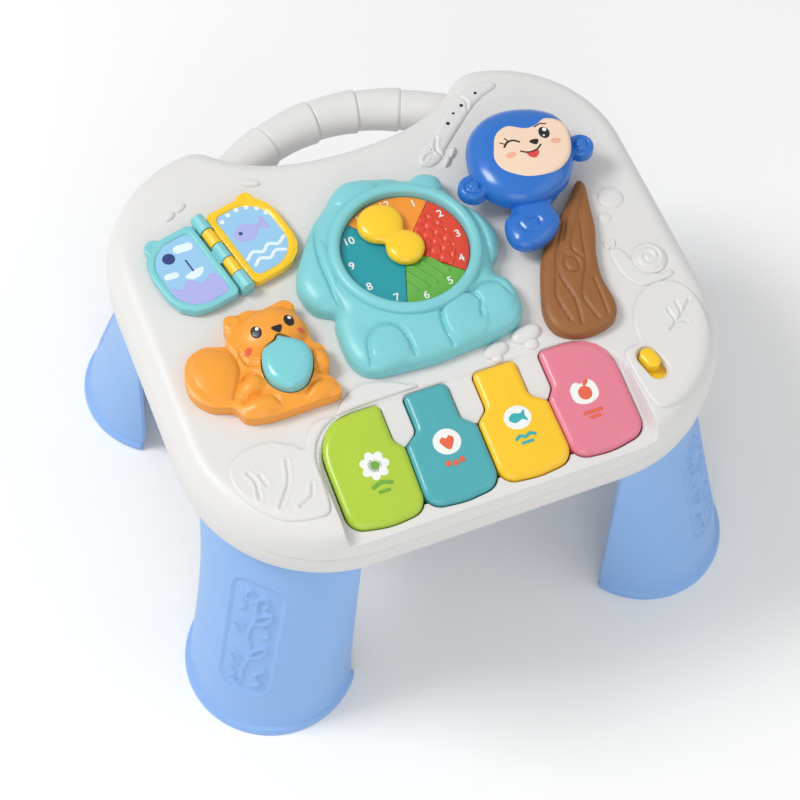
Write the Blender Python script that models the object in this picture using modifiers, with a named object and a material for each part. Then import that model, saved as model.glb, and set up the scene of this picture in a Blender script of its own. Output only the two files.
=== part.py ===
"""A musical activity table for a small child: a round-cornered tray of keys, a turning clock
pointer, a rocking monkey, a push nut, a slide switch and a two-leaf book, on four pull-off legs.
Metres, +X right, +Y to the back, +Z up, with the feet at zero height."""
import math

import bmesh
import bpy
import numpy as np
from mathutils import Matrix, Vector

# Clearances and common walls
GAP = 0.0003
RUN = 0.0005
WALL = 0.0022
OVERRUN = 0.002

# Tray plan and heights
TRAY_HALF_WIDTH = 0.126
TRAY_FRONT = 0.110
TRAY_SHOULDER = 0.106
TRAY_HOLLOW = 0.082
FRONT_CORNER_RADIUS = 0.067
BACK_CORNER_RADIUS = 0.061
SHOULDER_RADIUS = 0.016
BACK_ARC_END = math.radians(82)
SHOULDER_ARC_END = math.radians(132)
SHOULDER_PULL = 0.060
HOLLOW_PULL = 0.090
SPLIT_Z = 0.142
CASING_RISE = 0.019
CASING_EDGE = 0.0118
CASING_DEPTH = 0.018
BASE_EDGE = 0.006
TOP_Z = SPLIT_Z + CASING_RISE
UNDER_Z = SPLIT_Z - CASING_DEPTH
FLOOR_Z = UNDER_Z + WALL
CEILING_Z = TOP_Z - WALL
CASING_PROFILE_SHARES = ((0, 0), (0, 0.24), (0.1, 0.54), (0.36, 0.79), (0.67, 0.93), (1, 1))
INNER_PROFILE_SHARES = ((0, 0), (0, 0.2), (0.3, 0.7), (1, 1))
BASE_PROFILE_SHARES = ((1, 0), (0.36, 0.14), (0.09, 0.45), (0, 1))

# Key deck and keys
DECK_BACK_Y = -0.0525
DECK_HALF_WIDTH = 0.0715
DECK_CORNER = 0.0255
DECK_STEP = 0.0008
DECK_DROP = 0.0095
DECK_LENGTH = 0.0575
DECK_SLOPE = DECK_DROP / DECK_LENGTH
KEY_PITCH = 0.0343
KEY_LENGTH = 0.0505
KEY_BACK_Y = -0.0537
KEY_PROUD = 0.0025
KEY_SKIRT = 0.0075
KEY_EDGE = 0.0034
KEY_WALL = 0.0018
KEY_CLEARANCE = 0.0007
KEY_SMALL_RADIUS = 0.0022
KEY_TIP_RADIUS = 0.005
KEY_FRONT_RADIUS = 0.0075
KEY_BOW_RADIUS = 0.040
KEY_OUTER_RADIUS = 0.023
INNER_KEY_SHARES = ((0.184, 0), (0.184, 0.335), (0.014, 0.435), (0.014, 0.985), (0.5, 1.02),
                    (0.986, 0.985), (0.966, 0.435), (0.76, 0.335), (0.76, 0))
OUTER_KEY_SHARES = ((1.1, 0), (1.1, 0.335), (0.985, 0.435), (1.006, 0.985), (1.5, 1.02),
                    (2.0, 0.955), (2.0, 0))
ROD_Y = -0.0485
ROD_DROP = 0.0078
ROD_RADIUS = 0.001
ROD_HALF_LENGTH = 0.0728
KNUCKLE_RADIUS = 0.0032
ARM_WIDTH = 0.014
ARM_HEIGHT = 0.004
ARM_BITE = 0.0024
ARM_SHARE_INNER = 0.47
ARM_SHARE_OUTER = 1.47
HANGER_WIDTH = 0.004
HANGER_PLACES_SHARES = (-2.07, -0.94, 0, 0.94, 2.07)
SPRING_RADIUS = 0.0032
SPRING_WIRE = 0.00045
SPRING_TURNS = 3
SPRING_POINTS = 7
KEY_SPRING_Y = -0.080

# Board under the keys, with a tab below the nut
BOARD_TOP_Z = 0.140
BOARD_THICKNESS = 0.0016
BOARD_HALF_WIDTH = 0.064
BOARD_FRONT_Y = -0.092
BOARD_BACK_Y = -0.062
TAB_LEFT_X = -0.078
TAB_BACK_Y = -0.016
TAB_RIGHT_X = -0.056
CHIP_SIZE = (0.012, 0.009, 0.002)
CHIP_PLACE = (0.014, -0.070)
SOUND_CHIP_PLACE = (-0.012, -0.070)
BOARD_POST_RADIUS = 0.003
BOARD_POSTS = ((-0.060, -0.066), (0.060, -0.066), (-0.0665, -0.0445), (0.060, -0.088),
               (-0.060, -0.088))

# Carrying handle
HANDLE_RADIUS = 0.0105
HANDLE_Z = SPLIT_Z + 0.001
HANDLE_PEAK_Y = 0.111
HANDLE_SAG = 0.029
HANDLE_HALF_SPAN = 0.069
HANDLE_STEP = 0.0009
HANDLE_JOINT_SHARES = (-0.83, -0.46, -0.09, 0.23, 0.52, 0.84)
HANDLE_POINTS = 19

# Legs, shared by the four corners; u runs out along the corner's diagonal, v across it
LEG_WALL = 0.0028
LEG_TOP_REACH = 0.060
LEG_TOP_END = 0.0445
LEG_TOP_HALF_CHORD = 0.0402
SKIRT_Z = 0.019
SKIRT_REACH = 0.0925
SKIRT_END = 0.0480
SKIRT_HALF_CHORD = 0.0385
FOOT_REACH = 0.098
FOOT_END = 0.0500
FOOT_HALF_CHORD = 0.0402
FOOT_LIP = 0.003
LEG_STEPS = 11
LEG_LEVEL_SHARES = (1, 0.66, 0.33, 0)
PLUG_HEIGHT = 0.013
PLUG_INSET = 0.0007
PLUG_END_INSET = 0.012
SOCKET_WALL = 0.0016
BACK_LEG_SETBACK = 0.0085
PANEL_HALF_WIDTH = 0.0125
PANEL_LOW_Z = 0.028
PANEL_HIGH_Z = 0.102
PANEL_DEPTH = 0.0008

# Elephant with the clock dial
ELEPHANT_X = 0
ELEPHANT_Y = 0.009
ELEPHANT_HALF_WIDTH = 0.048
ELEPHANT_HEIGHT = 0.0105
ELEPHANT_EDGE = 0.006
ELEPHANT_SHARES = (
    (-1.08, 0.04), (-1.02, -0.16), (-0.86, -0.31), (-0.88, -0.57), (-0.87, -0.84), (-0.69, -1.02),
    (-0.43, -1.09), (-0.03, -1.11), (0.40, -1.08), (0.68, -0.99), (0.80, -0.85), (0.76, -0.56),
    (0.71, -0.31), (0.86, -0.17), (0.91, 0.06), (0.83, 0.33), (0.70, 0.57), (0.63, 0.85),
    (0.47, 0.90), (0.10, 0.96), (-0.16, 0.97), (-0.40, 0.87), (-0.71, 0.61), (-0.88, 0.38),
    (-1.06, 0.17))
DIAL_X = 0
DIAL_Y = 0.010
DIAL_RADIUS = 0.0288
DIAL_FLOOR = 0.0088
DIAL_FLOOR_THICKNESS = 0.0018
RIM_RADIUS = 0.0330
RIM_HEIGHT = 0.0150
RIM_SHOULDER = 0.0018
INSERT_THICKNESS = 0.0014
INSERT_HUB_RADIUS = 0.0062
RIDGE_RADIUS = 0.0011
RIDGE_PITCH = 0.0056
RIDGE_PLACE = 0.0172
RIDGE_HALF_LENGTH = 0.0045
RIDGE_SLANT_SHARE = 0.7
BUMP_RADIUS = 0.0024
BUMP_HEIGHT = 0.0009
BUMP_PITCH = 0.0068
SECTORS = (("orange", 48, 132), ("teal", 132, 250), ("green", 250, 318), ("red", 318, 408))
BOSS_RADIUS = 0.0034
PILOT_RADIUS = 0.0012
ELEPHANT_BOSS_SHARES = ((-0.62, -0.76), (0.55, -0.80))

# Clock pointer
SHAFT_RADIUS = 0.003
HUB_RADIUS = 0.0088
HEAD_RADIUS = 0.0108
HEAD_REACH = 0.0165
HEAD_LEAN = math.radians(112)
POINTER_THICKNESS = 0.0042
CLIP_RADIUS = 0.0062
CLIP_THICKNESS = 0.002

# Squirrel and its nut
SQUIRREL_X = -0.081
SQUIRREL_Y = -0.019
SQUIRREL_HALF_WIDTH = 0.031
SQUIRREL_BASE = 0.0068
SQUIRREL_EDGE = 0.0035
SQUIRREL_SHARES = (
    (-0.96, -0.33), (-0.64, -0.46), (-0.46, -0.69), (-0.10, -0.87), (0.44, -0.89), (0.96, -0.80),
    (0.93, -0.40), (0.94, -0.08), (0.90, 0.21), (0.75, 0.45), (0.74, 0.74), (0.56, 0.88),
    (0.16, 0.84), (-0.08, 0.94), (-0.24, 0.80), (-0.30, 0.50), (-0.72, 0.47), (-0.98, 0.12))
SQUIRREL_LOBE_SHARES = (
    (-0.58, 0.02, 0.36, 0.42, 0.13, 0), (0.30, 0.34, 0.42, 0.36, 0.24, 0), (0.14, -0.42, 0.40, 0.34, 0.12, 0),
    (0.66, -0.56, 0.22, 0.20, 0.16, 0), (-0.02, 0.76, 0.14, 0.14, 0.12, 0), (0.62, 0.70, 0.14, 0.14, 0.12, 0))
SQUIRREL_BOSS_SHARES = ((-0.60, 0.02), (-0.12, -0.62))
NUT_X = -0.069
NUT_Y = -0.026
NUT_HALF_WIDTH = 0.0112
NUT_TOP = 0.0150
NUT_EDGE = 0.004
NUT_DEPTH = 0.011
NUT_SHARES = ((0.31, 1.02), (0.05, 1.16), (-0.16, 1.0), (-0.72, 0.76), (-0.98, 0.06), (-0.86, -0.70),
              (-0.34, -1.16), (0.30, -1.14), (0.80, -0.60), (1.0, 0.0), (0.86, 0.62))
NUT_TRAVEL = 0.003
PLUNGER_RADIUS = 0.0042
PLUNGER_END_Z = 0.1505

# Monkey and its pivot
PIVOT_X = 0.054
PIVOT_Y = 0.004
MONKEY_SIZE = 0.032
MONKEY_BODY_BASE = 0.0082
MONKEY_BODY_TOP = 0.0152
MONKEY_HEAD_BASE = 0.0112
MONKEY_HEAD_TOP = 0.0225
MONKEY_BODY_SHARES = (
    (-0.04, 0.27), (-0.20, 0.13), (-0.26, -0.12), (-0.22, -0.33), (0.01, -0.42), (0.33, -0.32),
    (0.55, -0.10), (0.53, 0.20), (0.74, 0.36), (0.80, 0.62), (0.30, 0.80), (0.02, 0.58))
MONKEY_HEAD_SHARES = (
    (0.10, 0.30), (0.51, 0.22), (0.84, 0.40), (1.07, 0.58), (1.20, 0.84), (1.23, 1.12), (1.13, 1.40),
    (0.93, 1.64), (0.49, 1.82), (0.07, 1.76), (-0.27, 1.42), (-0.40, 0.98), (-0.32, 0.60))
EAR_RADIUS_SHARE = 0.22
EAR_SHARES = ((-0.46, 0.72), (1.24, 0.84))
EAR_TOP = 0.0180
MONKEY_EDGE = 0.0075
FACE_SHARES = (
    (-0.03, 0.68), (0.20, 0.48), (0.56, 0.40), (0.90, 0.56), (1.04, 0.82), (1.01, 1.14), (0.84, 1.33),
    (0.64, 1.25), (0.39, 1.36), (0.15, 1.32), (-0.03, 1.06))
FACE_RECESS = 0.0012
FACE_PROUD = 0.0008
FACE_EDGE = 0.002
COLLAR_RADIUS = 0.0060
PIN_RADIUS = 0.0024
PIN_HEAD_RADIUS = 0.0052
PIN_HEAD_THICKNESS = 0.0018

# Tree trunk
TRUNK_X = 0.068
TRUNK_Y = -0.018
TRUNK_HALF_LENGTH = 0.038
TRUNK_HEIGHT = 0.0074
TRUNK_EDGE = 0.0035
TRUNK_SHARES = (
    (0.34, 0.86), (0.09, 0.54), (-0.21, 0.30), (-0.41, -0.02), (-0.52, -0.51), (-0.50, -0.80),
    (-0.30, -0.94), (0.05, -0.98), (0.30, -0.78), (0.31, -0.48), (0.32, -0.13), (0.48, 0.42),
    (0.68, 0.94), (0.56, 1.04))
TRUNK_BOSS_SHARES = ((-0.08, -0.62),)
FIGURE_SCREW_HEAD = 0.0026
FIGURE_SCREW_SHANK = 0.0009
FIGURE_SCREW_HEAD_HEIGHT = 0.0014
FIGURE_SCREW_BITE = 0.004

# Two-leaf book on a slanted spine
SPINE_X = -0.0755
SPINE_Y = 0.0395
SPINE_TURN = math.radians(12.8)
SPINE_HALF_LENGTH = 0.0218
SPINE_HEIGHT = 0.0055
BOOK_ROD_RADIUS = 0.0009
BOOK_KNUCKLE = 0.0028
BRACKET_HALF_WIDTH = 0.0032
BRACKET_BASE = 0.0019
LEAF_THICKNESS = 0.004
LEAF_DROP = 0.0005
LEAF_START = 0.0038
LEAF_WEB = 0.0021
LEAF_REACH = 0.0325
LEAF_HALF_HEIGHT = 0.0212
LEAF_FRAME = 0.0028
PAGE_RECESS = 0.0006
LEAF_CORNER = 0.0035
LEAF_ROUND = 0.0170
EAR_TAB = 0.0042

# Slide switch
SWITCH_X = 0.0826
SWITCH_Y = -0.0765
SWITCH_TURN = math.radians(14)
SLOT_HALF_LENGTH = 0.0079
SLOT_HALF_WIDTH = 0.0039
KNOB_HALF_LENGTH = 0.0052
KNOB_RISE = 0.0024
SLIDER_HALF_LENGTH = 0.0101
SLIDER_HALF_WIDTH = 0.005
SLIDER_THICKNESS = 0.0014
SWITCH_TRAVEL = 0.004
SWITCH_BODY = (0.0086, 0.0150, 0.0062)
SWITCH_CHEEK = 0.0016

# Reliefs on the tray
RELIEF = 0.0011
MUSHROOMS = ((0.0190, -0.0482, 0.0040), (0.0370, -0.0458, 0.0058))
ROUND_BUMPS = ((0.1015, 0.0105, 0.0058), (0.0995, 0.0025, 0.0034))
SNAIL_SHELL = (0.1055, -0.0200, 0.0072)
SNAIL_BODY = (0.1000, -0.0262, 0.0100)
DOME_SHARE = 0.42
BUSH_SHARES = (
    (0.55, -0.66), (0.57, -0.50), (0.62, -0.40), (0.70, -0.36), (0.72, -0.30), (0.79, -0.27),
    (0.83, -0.33), (0.83, -0.52), (0.72, -0.66), (0.62, -0.73))
CLOUD_SHARES = (
    (-0.20, -0.404), (-0.27, -0.335), (-0.36, -0.335), (-0.43, -0.385), (-0.51, -0.40), (-0.585, -0.465),
    (-0.65, -0.435), (-0.75, -0.425), (-0.84, -0.47), (-0.84, -0.56), (-0.75, -0.66), (-0.64, -0.72),
    (-0.60, -0.68), (-0.59, -0.57), (-0.54, -0.47), (-0.42, -0.408))

# Battery well, door and cells
WELL_X = 0.0
WELL_Y = 0.010
WELL_HALF_LENGTH = 0.030
WELL_HALF_WIDTH = 0.0165
WELL_WALL = 0.0016
WELL_HEIGHT = 0.0185
DOOR_THICKNESS = 0.002
CELL_RADIUS = 0.0071
CELL_HALF_LENGTH = 0.0250
NIPPLE_RADIUS = 0.0026
NIPPLE_LENGTH = 0.0012
CONTACT_THICKNESS = 0.0005
CONTACT_HALF = 0.0052
DOOR_SCREW_RADIUS = 0.0013
DOOR_SCREW_HEAD = 0.0026

# Speaker and its grille
SPEAKER_X = -0.062
SPEAKER_Y = 0.040
SPEAKER_RADIUS = 0.0190
SPEAKER_RING = 0.0018
SPEAKER_RING_HEIGHT = 0.0045
SPEAKER_FLANGE = 0.0016
MAGNET_RADIUS = 0.0095
MAGNET_HEIGHT = 0.0055
SPEAKER_DEPTH = 0.0105
GRILLE_HOLE = 0.0018
GRILLE_PITCH = 0.0078

# Casing screws and their posts
POST_RADIUS = 0.0036
SCREW_SHANK = 0.0013
SCREW_HEAD = 0.0026
SCREW_HEAD_HEIGHT = 0.0018
SCREW_BITE = 0.009
SCREW_PLACES = ((0.112, 0.010), (-0.112, 0.010), (0.046, 0.068), (-0.046, 0.068),
                (0.088, -0.052), (-0.088, -0.052))

# Leads, as points that their curves pass through
LEAD_RADIUS = 0.0006
LEAD_POINTS = 14
LEAD_HOLE = 0.0012
SPEAKER_LEAD = ((-0.056, 0.0195, 0.1272), (-0.054, 0.008, 0.1275), (-0.047, -0.004, 0.131),
                (-0.047, -0.018, 0.137), (-0.0557, -0.022, 0.1392))
BATTERY_LEAD = ((-0.0301, 0.0016, 0.133), (-0.036, 0.0010, 0.133), (-0.044, -0.010, 0.134),
                (-0.048, -0.028, 0.138), (-0.0557, -0.033, 0.1392))

# Colours
WHITE = (0.80, 0.79, 0.77)
TURQUOISE = (0.20, 0.56, 0.60)
ORANGE = (0.84, 0.33, 0.04)
LIME = (0.50, 0.60, 0.05)
TEAL = (0.06, 0.42, 0.46)
YELLOW = (0.90, 0.55, 0.02)
PINK = (0.76, 0.22, 0.28)
RED = (0.78, 0.07, 0.03)
GREEN = (0.16, 0.46, 0.09)
BLUE = (0.02, 0.17, 0.58)
LEG_BLUE = (0.22, 0.43, 0.78)
SKIN = (0.80, 0.60, 0.44)
BROWN = (0.36, 0.15, 0.04)
STEEL = (0.55, 0.55, 0.56)
BOARD_GREEN = (0.02, 0.20, 0.06)
DARK = (0.04, 0.04, 0.045)
WIRE_RED = (0.55, 0.03, 0.03)

for leftover in list(bpy.data.objects):
    bpy.data.objects.remove(leftover)


def fresh_collection(name):
    """A collection linked to the scene, emptied if it is already there."""
    old = bpy.data.collections.get(name)
    if old:
        bpy.data.collections.remove(old)
    made = bpy.data.collections.new(name)
    bpy.context.scene.collection.children.link(made)
    return made


PARTS = fresh_collection("musical_activity_table")
CUTTERS = fresh_collection("cutters")
ROOT = bpy.data.objects.new("table_root", None)
PARTS.objects.link(ROOT)


def painted(name, colour, roughness, metallic=0.0):
    """A Principled material for one part."""
    material = bpy.data.materials.get(name) or bpy.data.materials.new(name)
    material.use_nodes = True
    shader = material.node_tree.nodes["Principled BSDF"]
    shader.inputs["Base Color"].default_value = (*colour, 1.0)
    shader.inputs["Roughness"].default_value = roughness
    shader.inputs["Metallic"].default_value = metallic
    return material


def mesh_object(name, mesh, collection):
    """An object for a mesh or curve in a collection."""
    made = bpy.data.objects.new(name, mesh)
    collection.objects.link(made)
    return made


def closed_mesh(name, bm):
    """The shape as a mesh whose faces look outwards."""
    bmesh.ops.recalc_face_normals(bm, faces=bm.faces)
    if bm.calc_volume(signed=True) < 0:
        bmesh.ops.reverse_faces(bm, faces=bm.faces)
    mesh = bpy.data.meshes.new(name)
    bm.to_mesh(mesh)
    bm.free()
    return mesh


def tool(name, bm):
    """A cutter or adder, drawn as wire and left out of the parts."""
    made = mesh_object(name, closed_mesh(name, bm), CUTTERS)
    made.parent = ROOT
    made.hide_render = True
    made.display_type = "WIRE"
    return made


def part(name, bm, colour, roughness=0.4, metallic=0.0, origin=(0, 0, 0)):
    """A named part whose origin lies at the given point."""
    return settle(mesh_object(name, closed_mesh(name, bm), PARTS), colour, roughness, metallic, origin)


def settle(made, colour, roughness, metallic, origin):
    """Moves the data to the origin point, and gives the part its parent and material."""
    made.data.transform(Matrix.Translation(-Vector(origin)))
    made.location = origin
    made.parent = ROOT
    made.data.materials.append(painted(made.name, colour, roughness, metallic))
    return made


def combine(target, other, operation):
    """A live Boolean on the target."""
    modifier = target.modifiers.new(other.name, "BOOLEAN")
    modifier.operation = operation
    modifier.object = other


def cut(target, name, bm):
    """Cuts a shape out of the target."""
    combine(target, tool(name, bm), "DIFFERENCE")


def add(target, name, bm):
    """Joins a shape to the target."""
    combine(target, tool(name, bm), "UNION")


def put_box(bm, low, high, turn=0.0, pivot=(0, 0)):
    """A box between two corners, turned about a vertical line through the pivot."""
    low = Vector(low)
    high = Vector(high)
    centre = Matrix.Translation((low + high) / 2)
    size = Matrix.Diagonal((*(high - low), 1.0))
    post = Matrix.Translation((*pivot, 0))
    spin = post @ Matrix.Rotation(turn, 4, "Z") @ post.inverted()
    bmesh.ops.create_cube(bm, size=1.0, matrix=spin @ centre @ size)


def put_rod(bm, start, end, radius, sides=10, end_radius=None):
    """A cylinder or cone frustum between two points."""
    start = Vector(start)
    end = Vector(end)
    axis = end - start
    turn = axis.to_track_quat("Z", "Y").to_matrix().to_4x4()
    bmesh.ops.create_cone(bm, cap_ends=True, segments=sides, radius1=radius,
                          radius2=radius if end_radius is None else end_radius,
                          depth=axis.length, matrix=Matrix.Translation((start + end) / 2) @ turn)


def put_post(bm, x, y, low, high, radius, sides=10, end_radius=None):
    """An upright cylinder."""
    put_rod(bm, (x, y, low), (x, y, high), radius, sides, end_radius)


def put_dome(bm, x, y, base, radii, turn=0.0, steps=12):
    """The upper half of a squashed sphere, flat at its base."""
    place = Matrix.Translation((x, y, base)) @ Matrix.Rotation(turn, 4, "Z") @ Matrix.Diagonal((*radii, 1.0))
    made = bmesh.ops.create_uvsphere(bm, u_segments=steps, v_segments=steps // 2, radius=1.0, matrix=place)
    verts = made["verts"]
    edges = list({edge for vert in verts for edge in vert.link_edges})
    faces = list({face for vert in verts for face in vert.link_faces})
    sliced = bmesh.ops.bisect_plane(bm, geom=verts + edges + faces, dist=GAP / 100, plane_co=(x, y, base),
                                    plane_no=(0, 0, -1), clear_outer=True)
    rim = [item for item in sliced["geom_cut"] if isinstance(item, bmesh.types.BMEdge)]
    bmesh.ops.holes_fill(bm, edges=rim)


def flowing_loop(shares, x, y, size, steps=2):
    """A closed Catmull-Rom curve through points given as shares of a size, counter-clockwise."""
    points = np.array(shares, float) * size + (x, y)
    before = np.roll(points, 1, axis=0)
    after = np.roll(points, -1, axis=0)
    later = np.roll(points, -2, axis=0)
    rows = []
    for step in range(steps):
        t = step / steps
        rows.append(0.5 * (2 * points + (after - before) * t
                           + (2 * before - 5 * points + 4 * after - later) * t ** 2
                           + (3 * points - before - 3 * after + later) * t ** 3))
    return np.stack(rows, axis=1).reshape(-1, 2)


def filleted_loop(corners, arc_step=math.radians(30)):
    """A closed outline of straight runs whose corners (x, y, radius) are rounded by arcs, or sharp at zero."""
    points = np.array([corner[:2] for corner in corners], float)
    loop = []
    for index, corner in enumerate(corners):
        here = points[index]
        if not corner[2]:
            loop.append(here)
            continue
        back = points[index - 1] - here
        ahead = points[(index + 1) % len(points)] - here
        back_length = np.linalg.norm(back)
        ahead_length = np.linalg.norm(ahead)
        back /= back_length
        ahead /= ahead_length
        opening = math.acos(max(-1.0, min(1.0, float(back @ ahead))))
        tangent = corner[2] / math.tan(opening / 2)
        tangent = min(tangent, 0.48 * back_length, 0.48 * ahead_length)
        radius = tangent * math.tan(opening / 2)
        bisector = (back + ahead) / np.linalg.norm(back + ahead)
        centre = here + bisector * radius / math.sin(opening / 2)
        first = here + back * tangent - centre
        last = here + ahead * tangent - centre
        sweep = math.atan2(first[0] * last[1] - first[1] * last[0], first @ last)
        count = max(2, math.ceil(abs(sweep) / arc_step) + 1)
        for angle in np.linspace(0, sweep, count):
            turn = np.array(((math.cos(angle), -math.sin(angle)), (math.sin(angle), math.cos(angle))))
            loop.append(centre + turn @ first)
    return counter_clockwise(np.array(loop))


def counter_clockwise(loop):
    """The loop in the direction whose outside lies to the right."""
    x, y = loop.T
    area = float((x * np.roll(y, -1) - np.roll(x, -1) * y).sum())
    return loop if area > 0 else loop[::-1]


def moved_in(loop, distance, ease=0.7):
    """The loop drawn in along its normals, less where a tight bend would fold over."""
    back = loop - np.roll(loop, 1, axis=0)
    ahead = np.roll(loop, -1, axis=0) - loop
    tangent = back / np.linalg.norm(back, axis=1)[:, None] + ahead / np.linalg.norm(ahead, axis=1)[:, None]
    outward = np.stack((tangent[:, 1], -tangent[:, 0]), axis=1) / np.linalg.norm(tangent, axis=1)[:, None]
    reach = np.full(len(loop), abs(distance))
    if distance > 0:
        shorter = np.minimum(np.linalg.norm(back, axis=1), np.linalg.norm(ahead, axis=1))
        cross = back[:, 0] * ahead[:, 1] - back[:, 1] * ahead[:, 0]
        bend = np.arctan2(cross, (back * ahead).sum(axis=1))
        limit = np.where(bend > 0, ease * shorter / np.maximum(bend, GAP), distance)
        limit = np.minimum(limit, np.minimum(np.roll(limit, 1), np.roll(limit, -1)))
        reach = np.minimum(reach, limit)
        for _ in range(3):
            reach = np.minimum((np.roll(reach, 1) + 2 * reach + np.roll(reach, -1)) / 4, limit)
    return loop - outward * (reach * math.copysign(1, distance))[:, None]


def level(loop, height):
    """A flat ring of 3-D points at a height, which may vary from point to point."""
    return np.column_stack((loop, np.broadcast_to(height, len(loop))))


def put_loft(bm, rings, open_bottom=False):
    """Sides through rings of equal count, low to high, with flat caps."""
    rows = [[bm.verts.new(point) for point in ring] for ring in rings]
    for low, high in zip(rows, rows[1:]):
        for index in range(len(low)):
            after = (index + 1) % len(low)
            bm.faces.new((low[index], low[after], high[after], high[index]))
    bm.faces.new(rows[-1])
    if not open_bottom:
        bm.faces.new(rows[0][::-1])


def put_prism(bm, loop, low, high):
    """An upright prism on a closed outline."""
    put_loft(bm, (level(loop, low), level(loop, high)))


def put_pillow(bm, loop, low, high, edge, wall_share=0.45):
    """A plate with upright sides and a rounded top edge."""
    rise = high - low
    shares = ((0, 0), (0, wall_share), (0.15, wall_share + 0.5 * (1 - wall_share)),
              (0.5, wall_share + 0.87 * (1 - wall_share)), (1, 1))
    put_loft(bm, [level(moved_in(loop, edge * inward) if inward else loop, low + rise * up)
                  for inward, up in shares])


def tray_edge():
    """The tray's outline as points and outward normals, counter-clockwise from the front middle."""
    front_x = TRAY_HALF_WIDTH - FRONT_CORNER_RADIUS
    front_y = FRONT_CORNER_RADIUS - TRAY_FRONT
    back_x = TRAY_HALF_WIDTH - BACK_CORNER_RADIUS
    back_y = TRAY_SHOULDER - BACK_CORNER_RADIUS
    points = [(0, -TRAY_FRONT)]
    normals = [(0, -1)]
    for angle in np.linspace(-math.pi / 2, 0, 8):
        normal = (math.cos(angle), math.sin(angle))
        points.append((front_x + FRONT_CORNER_RADIUS * normal[0], front_y + FRONT_CORNER_RADIUS * normal[1]))
        normals.append(normal)
    for angle in np.linspace(0, BACK_ARC_END, 7):
        normal = (math.cos(angle), math.sin(angle))
        points.append((back_x + BACK_CORNER_RADIUS * normal[0], back_y + BACK_CORNER_RADIUS * normal[1]))
        normals.append(normal)
    turn = (math.cos(BACK_ARC_END), math.sin(BACK_ARC_END))
    centre = np.array(points[-1]) - SHOULDER_RADIUS * np.array(turn)
    for angle in np.linspace(BACK_ARC_END, SHOULDER_ARC_END, 4)[1:]:
        normal = (math.cos(angle), math.sin(angle))
        points.append(tuple(centre + SHOULDER_RADIUS * np.array(normal)))
        normals.append(normal)
    start = np.array(points[-1])
    finish = np.array((0, TRAY_HOLLOW))
    leave = SHOULDER_PULL * np.array((-math.sin(SHOULDER_ARC_END), math.cos(SHOULDER_ARC_END)))
    arrive = HOLLOW_PULL * np.array((-1, 0))
    for t in np.linspace(0, 1, 7)[1:]:
        spot = ((2 * t ** 3 - 3 * t ** 2 + 1) * start + (t ** 3 - 2 * t ** 2 + t) * leave
                + (3 * t ** 2 - 2 * t ** 3) * finish + (t ** 3 - t ** 2) * arrive)
        speed = ((6 * t ** 2 - 6 * t) * start + (3 * t ** 2 - 4 * t + 1) * leave
                 + (6 * t - 6 * t ** 2) * finish + (3 * t ** 2 - 2 * t) * arrive)
        speed /= np.linalg.norm(speed)
        points.append(tuple(spot))
        normals.append((speed[1], -speed[0]))
    mirrored = [(-x, y) for x, y in points[-2:0:-1]]
    turned = [(-x, y) for x, y in normals[-2:0:-1]]
    return np.array(points + mirrored), np.array(normals + turned)


EDGE_POINTS, EDGE_NORMALS = tray_edge()


def tray_ring(inset, height):
    """The tray's outline drawn in by an inset, at a height."""
    return level(EDGE_POINTS - EDGE_NORMALS * inset, height)


def deck_plan():
    """Plan of the sunken key deck, open towards the front."""
    front = -TRAY_FRONT - CASING_RISE
    return filleted_loop(((-DECK_HALF_WIDTH, front, 0), (DECK_HALF_WIDTH, front, 0),
                          (DECK_HALF_WIDTH, DECK_BACK_Y, DECK_CORNER),
                          (-DECK_HALF_WIDTH, DECK_BACK_Y, DECK_CORNER)))


def deck_height(y):
    """Height of the sloping deck at a distance from the back."""
    return TOP_Z - DECK_STEP - DECK_SLOPE * (DECK_BACK_Y - np.asarray(y))


def put_deck_space(bm, lower):
    """The space above the deck, with its floor lowered by a wall where needed."""
    plan = moved_in(deck_plan(), -lower) if lower else deck_plan()
    put_loft(bm, (level(plan, deck_height(plan[:, 1]) - lower), level(plan, TOP_Z + CASING_RISE)))


def handle_curve(radius, ringed):
    """The handle's arched centreline as a round tube, with bamboo-like joints if ringed."""
    curve = bpy.data.curves.new("handle_line", "CURVE")
    curve.dimensions = "3D"
    curve.bevel_depth = radius
    curve.bevel_resolution = 3
    curve.use_fill_caps = True
    places = [(share, 1.0) for share in np.linspace(-1, 1, HANDLE_POINTS)]
    if ringed:
        reach = HANDLE_STEP / HANDLE_HALF_SPAN / 2
        thin = 1 - HANDLE_STEP / radius
        ends = (-1.0, *HANDLE_JOINT_SHARES, 1.0)
        ringed_places = []
        for low, high in zip(ends, ends[1:]):
            first = low + reach if low > ends[0] else low
            last = high - reach if high < ends[-1] else high
            inner = [share for share, _ in places if first + reach < share < last - reach]
            for share in (first, *inner, last):
                ringed_places.append((share, thin + (1 - thin) * (share - first) / (last - first)))
        places = ringed_places
    spline = curve.splines.new("POLY")
    spline.points.add(len(places) - 1)
    for point, (share, size) in zip(spline.points, places):
        point.co = (HANDLE_HALF_SPAN * share, HANDLE_PEAK_Y - HANDLE_SAG * share ** 2, HANDLE_Z, 1)
        point.radius = size
    return curve


def tube_shape(curve):
    """A tube curve and its caps as one closed shape."""
    made = mesh_object(curve.name, curve, CUTTERS)
    bpy.context.view_layer.update()
    evaluated = made.evaluated_get(bpy.context.evaluated_depsgraph_get())
    bm = bmesh.new()
    bm.from_mesh(bpy.data.meshes.new_from_object(evaluated))
    bpy.data.objects.remove(made)
    bpy.data.curves.remove(curve)
    bmesh.ops.remove_doubles(bm, verts=bm.verts, dist=GAP / 10)
    return bm


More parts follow.
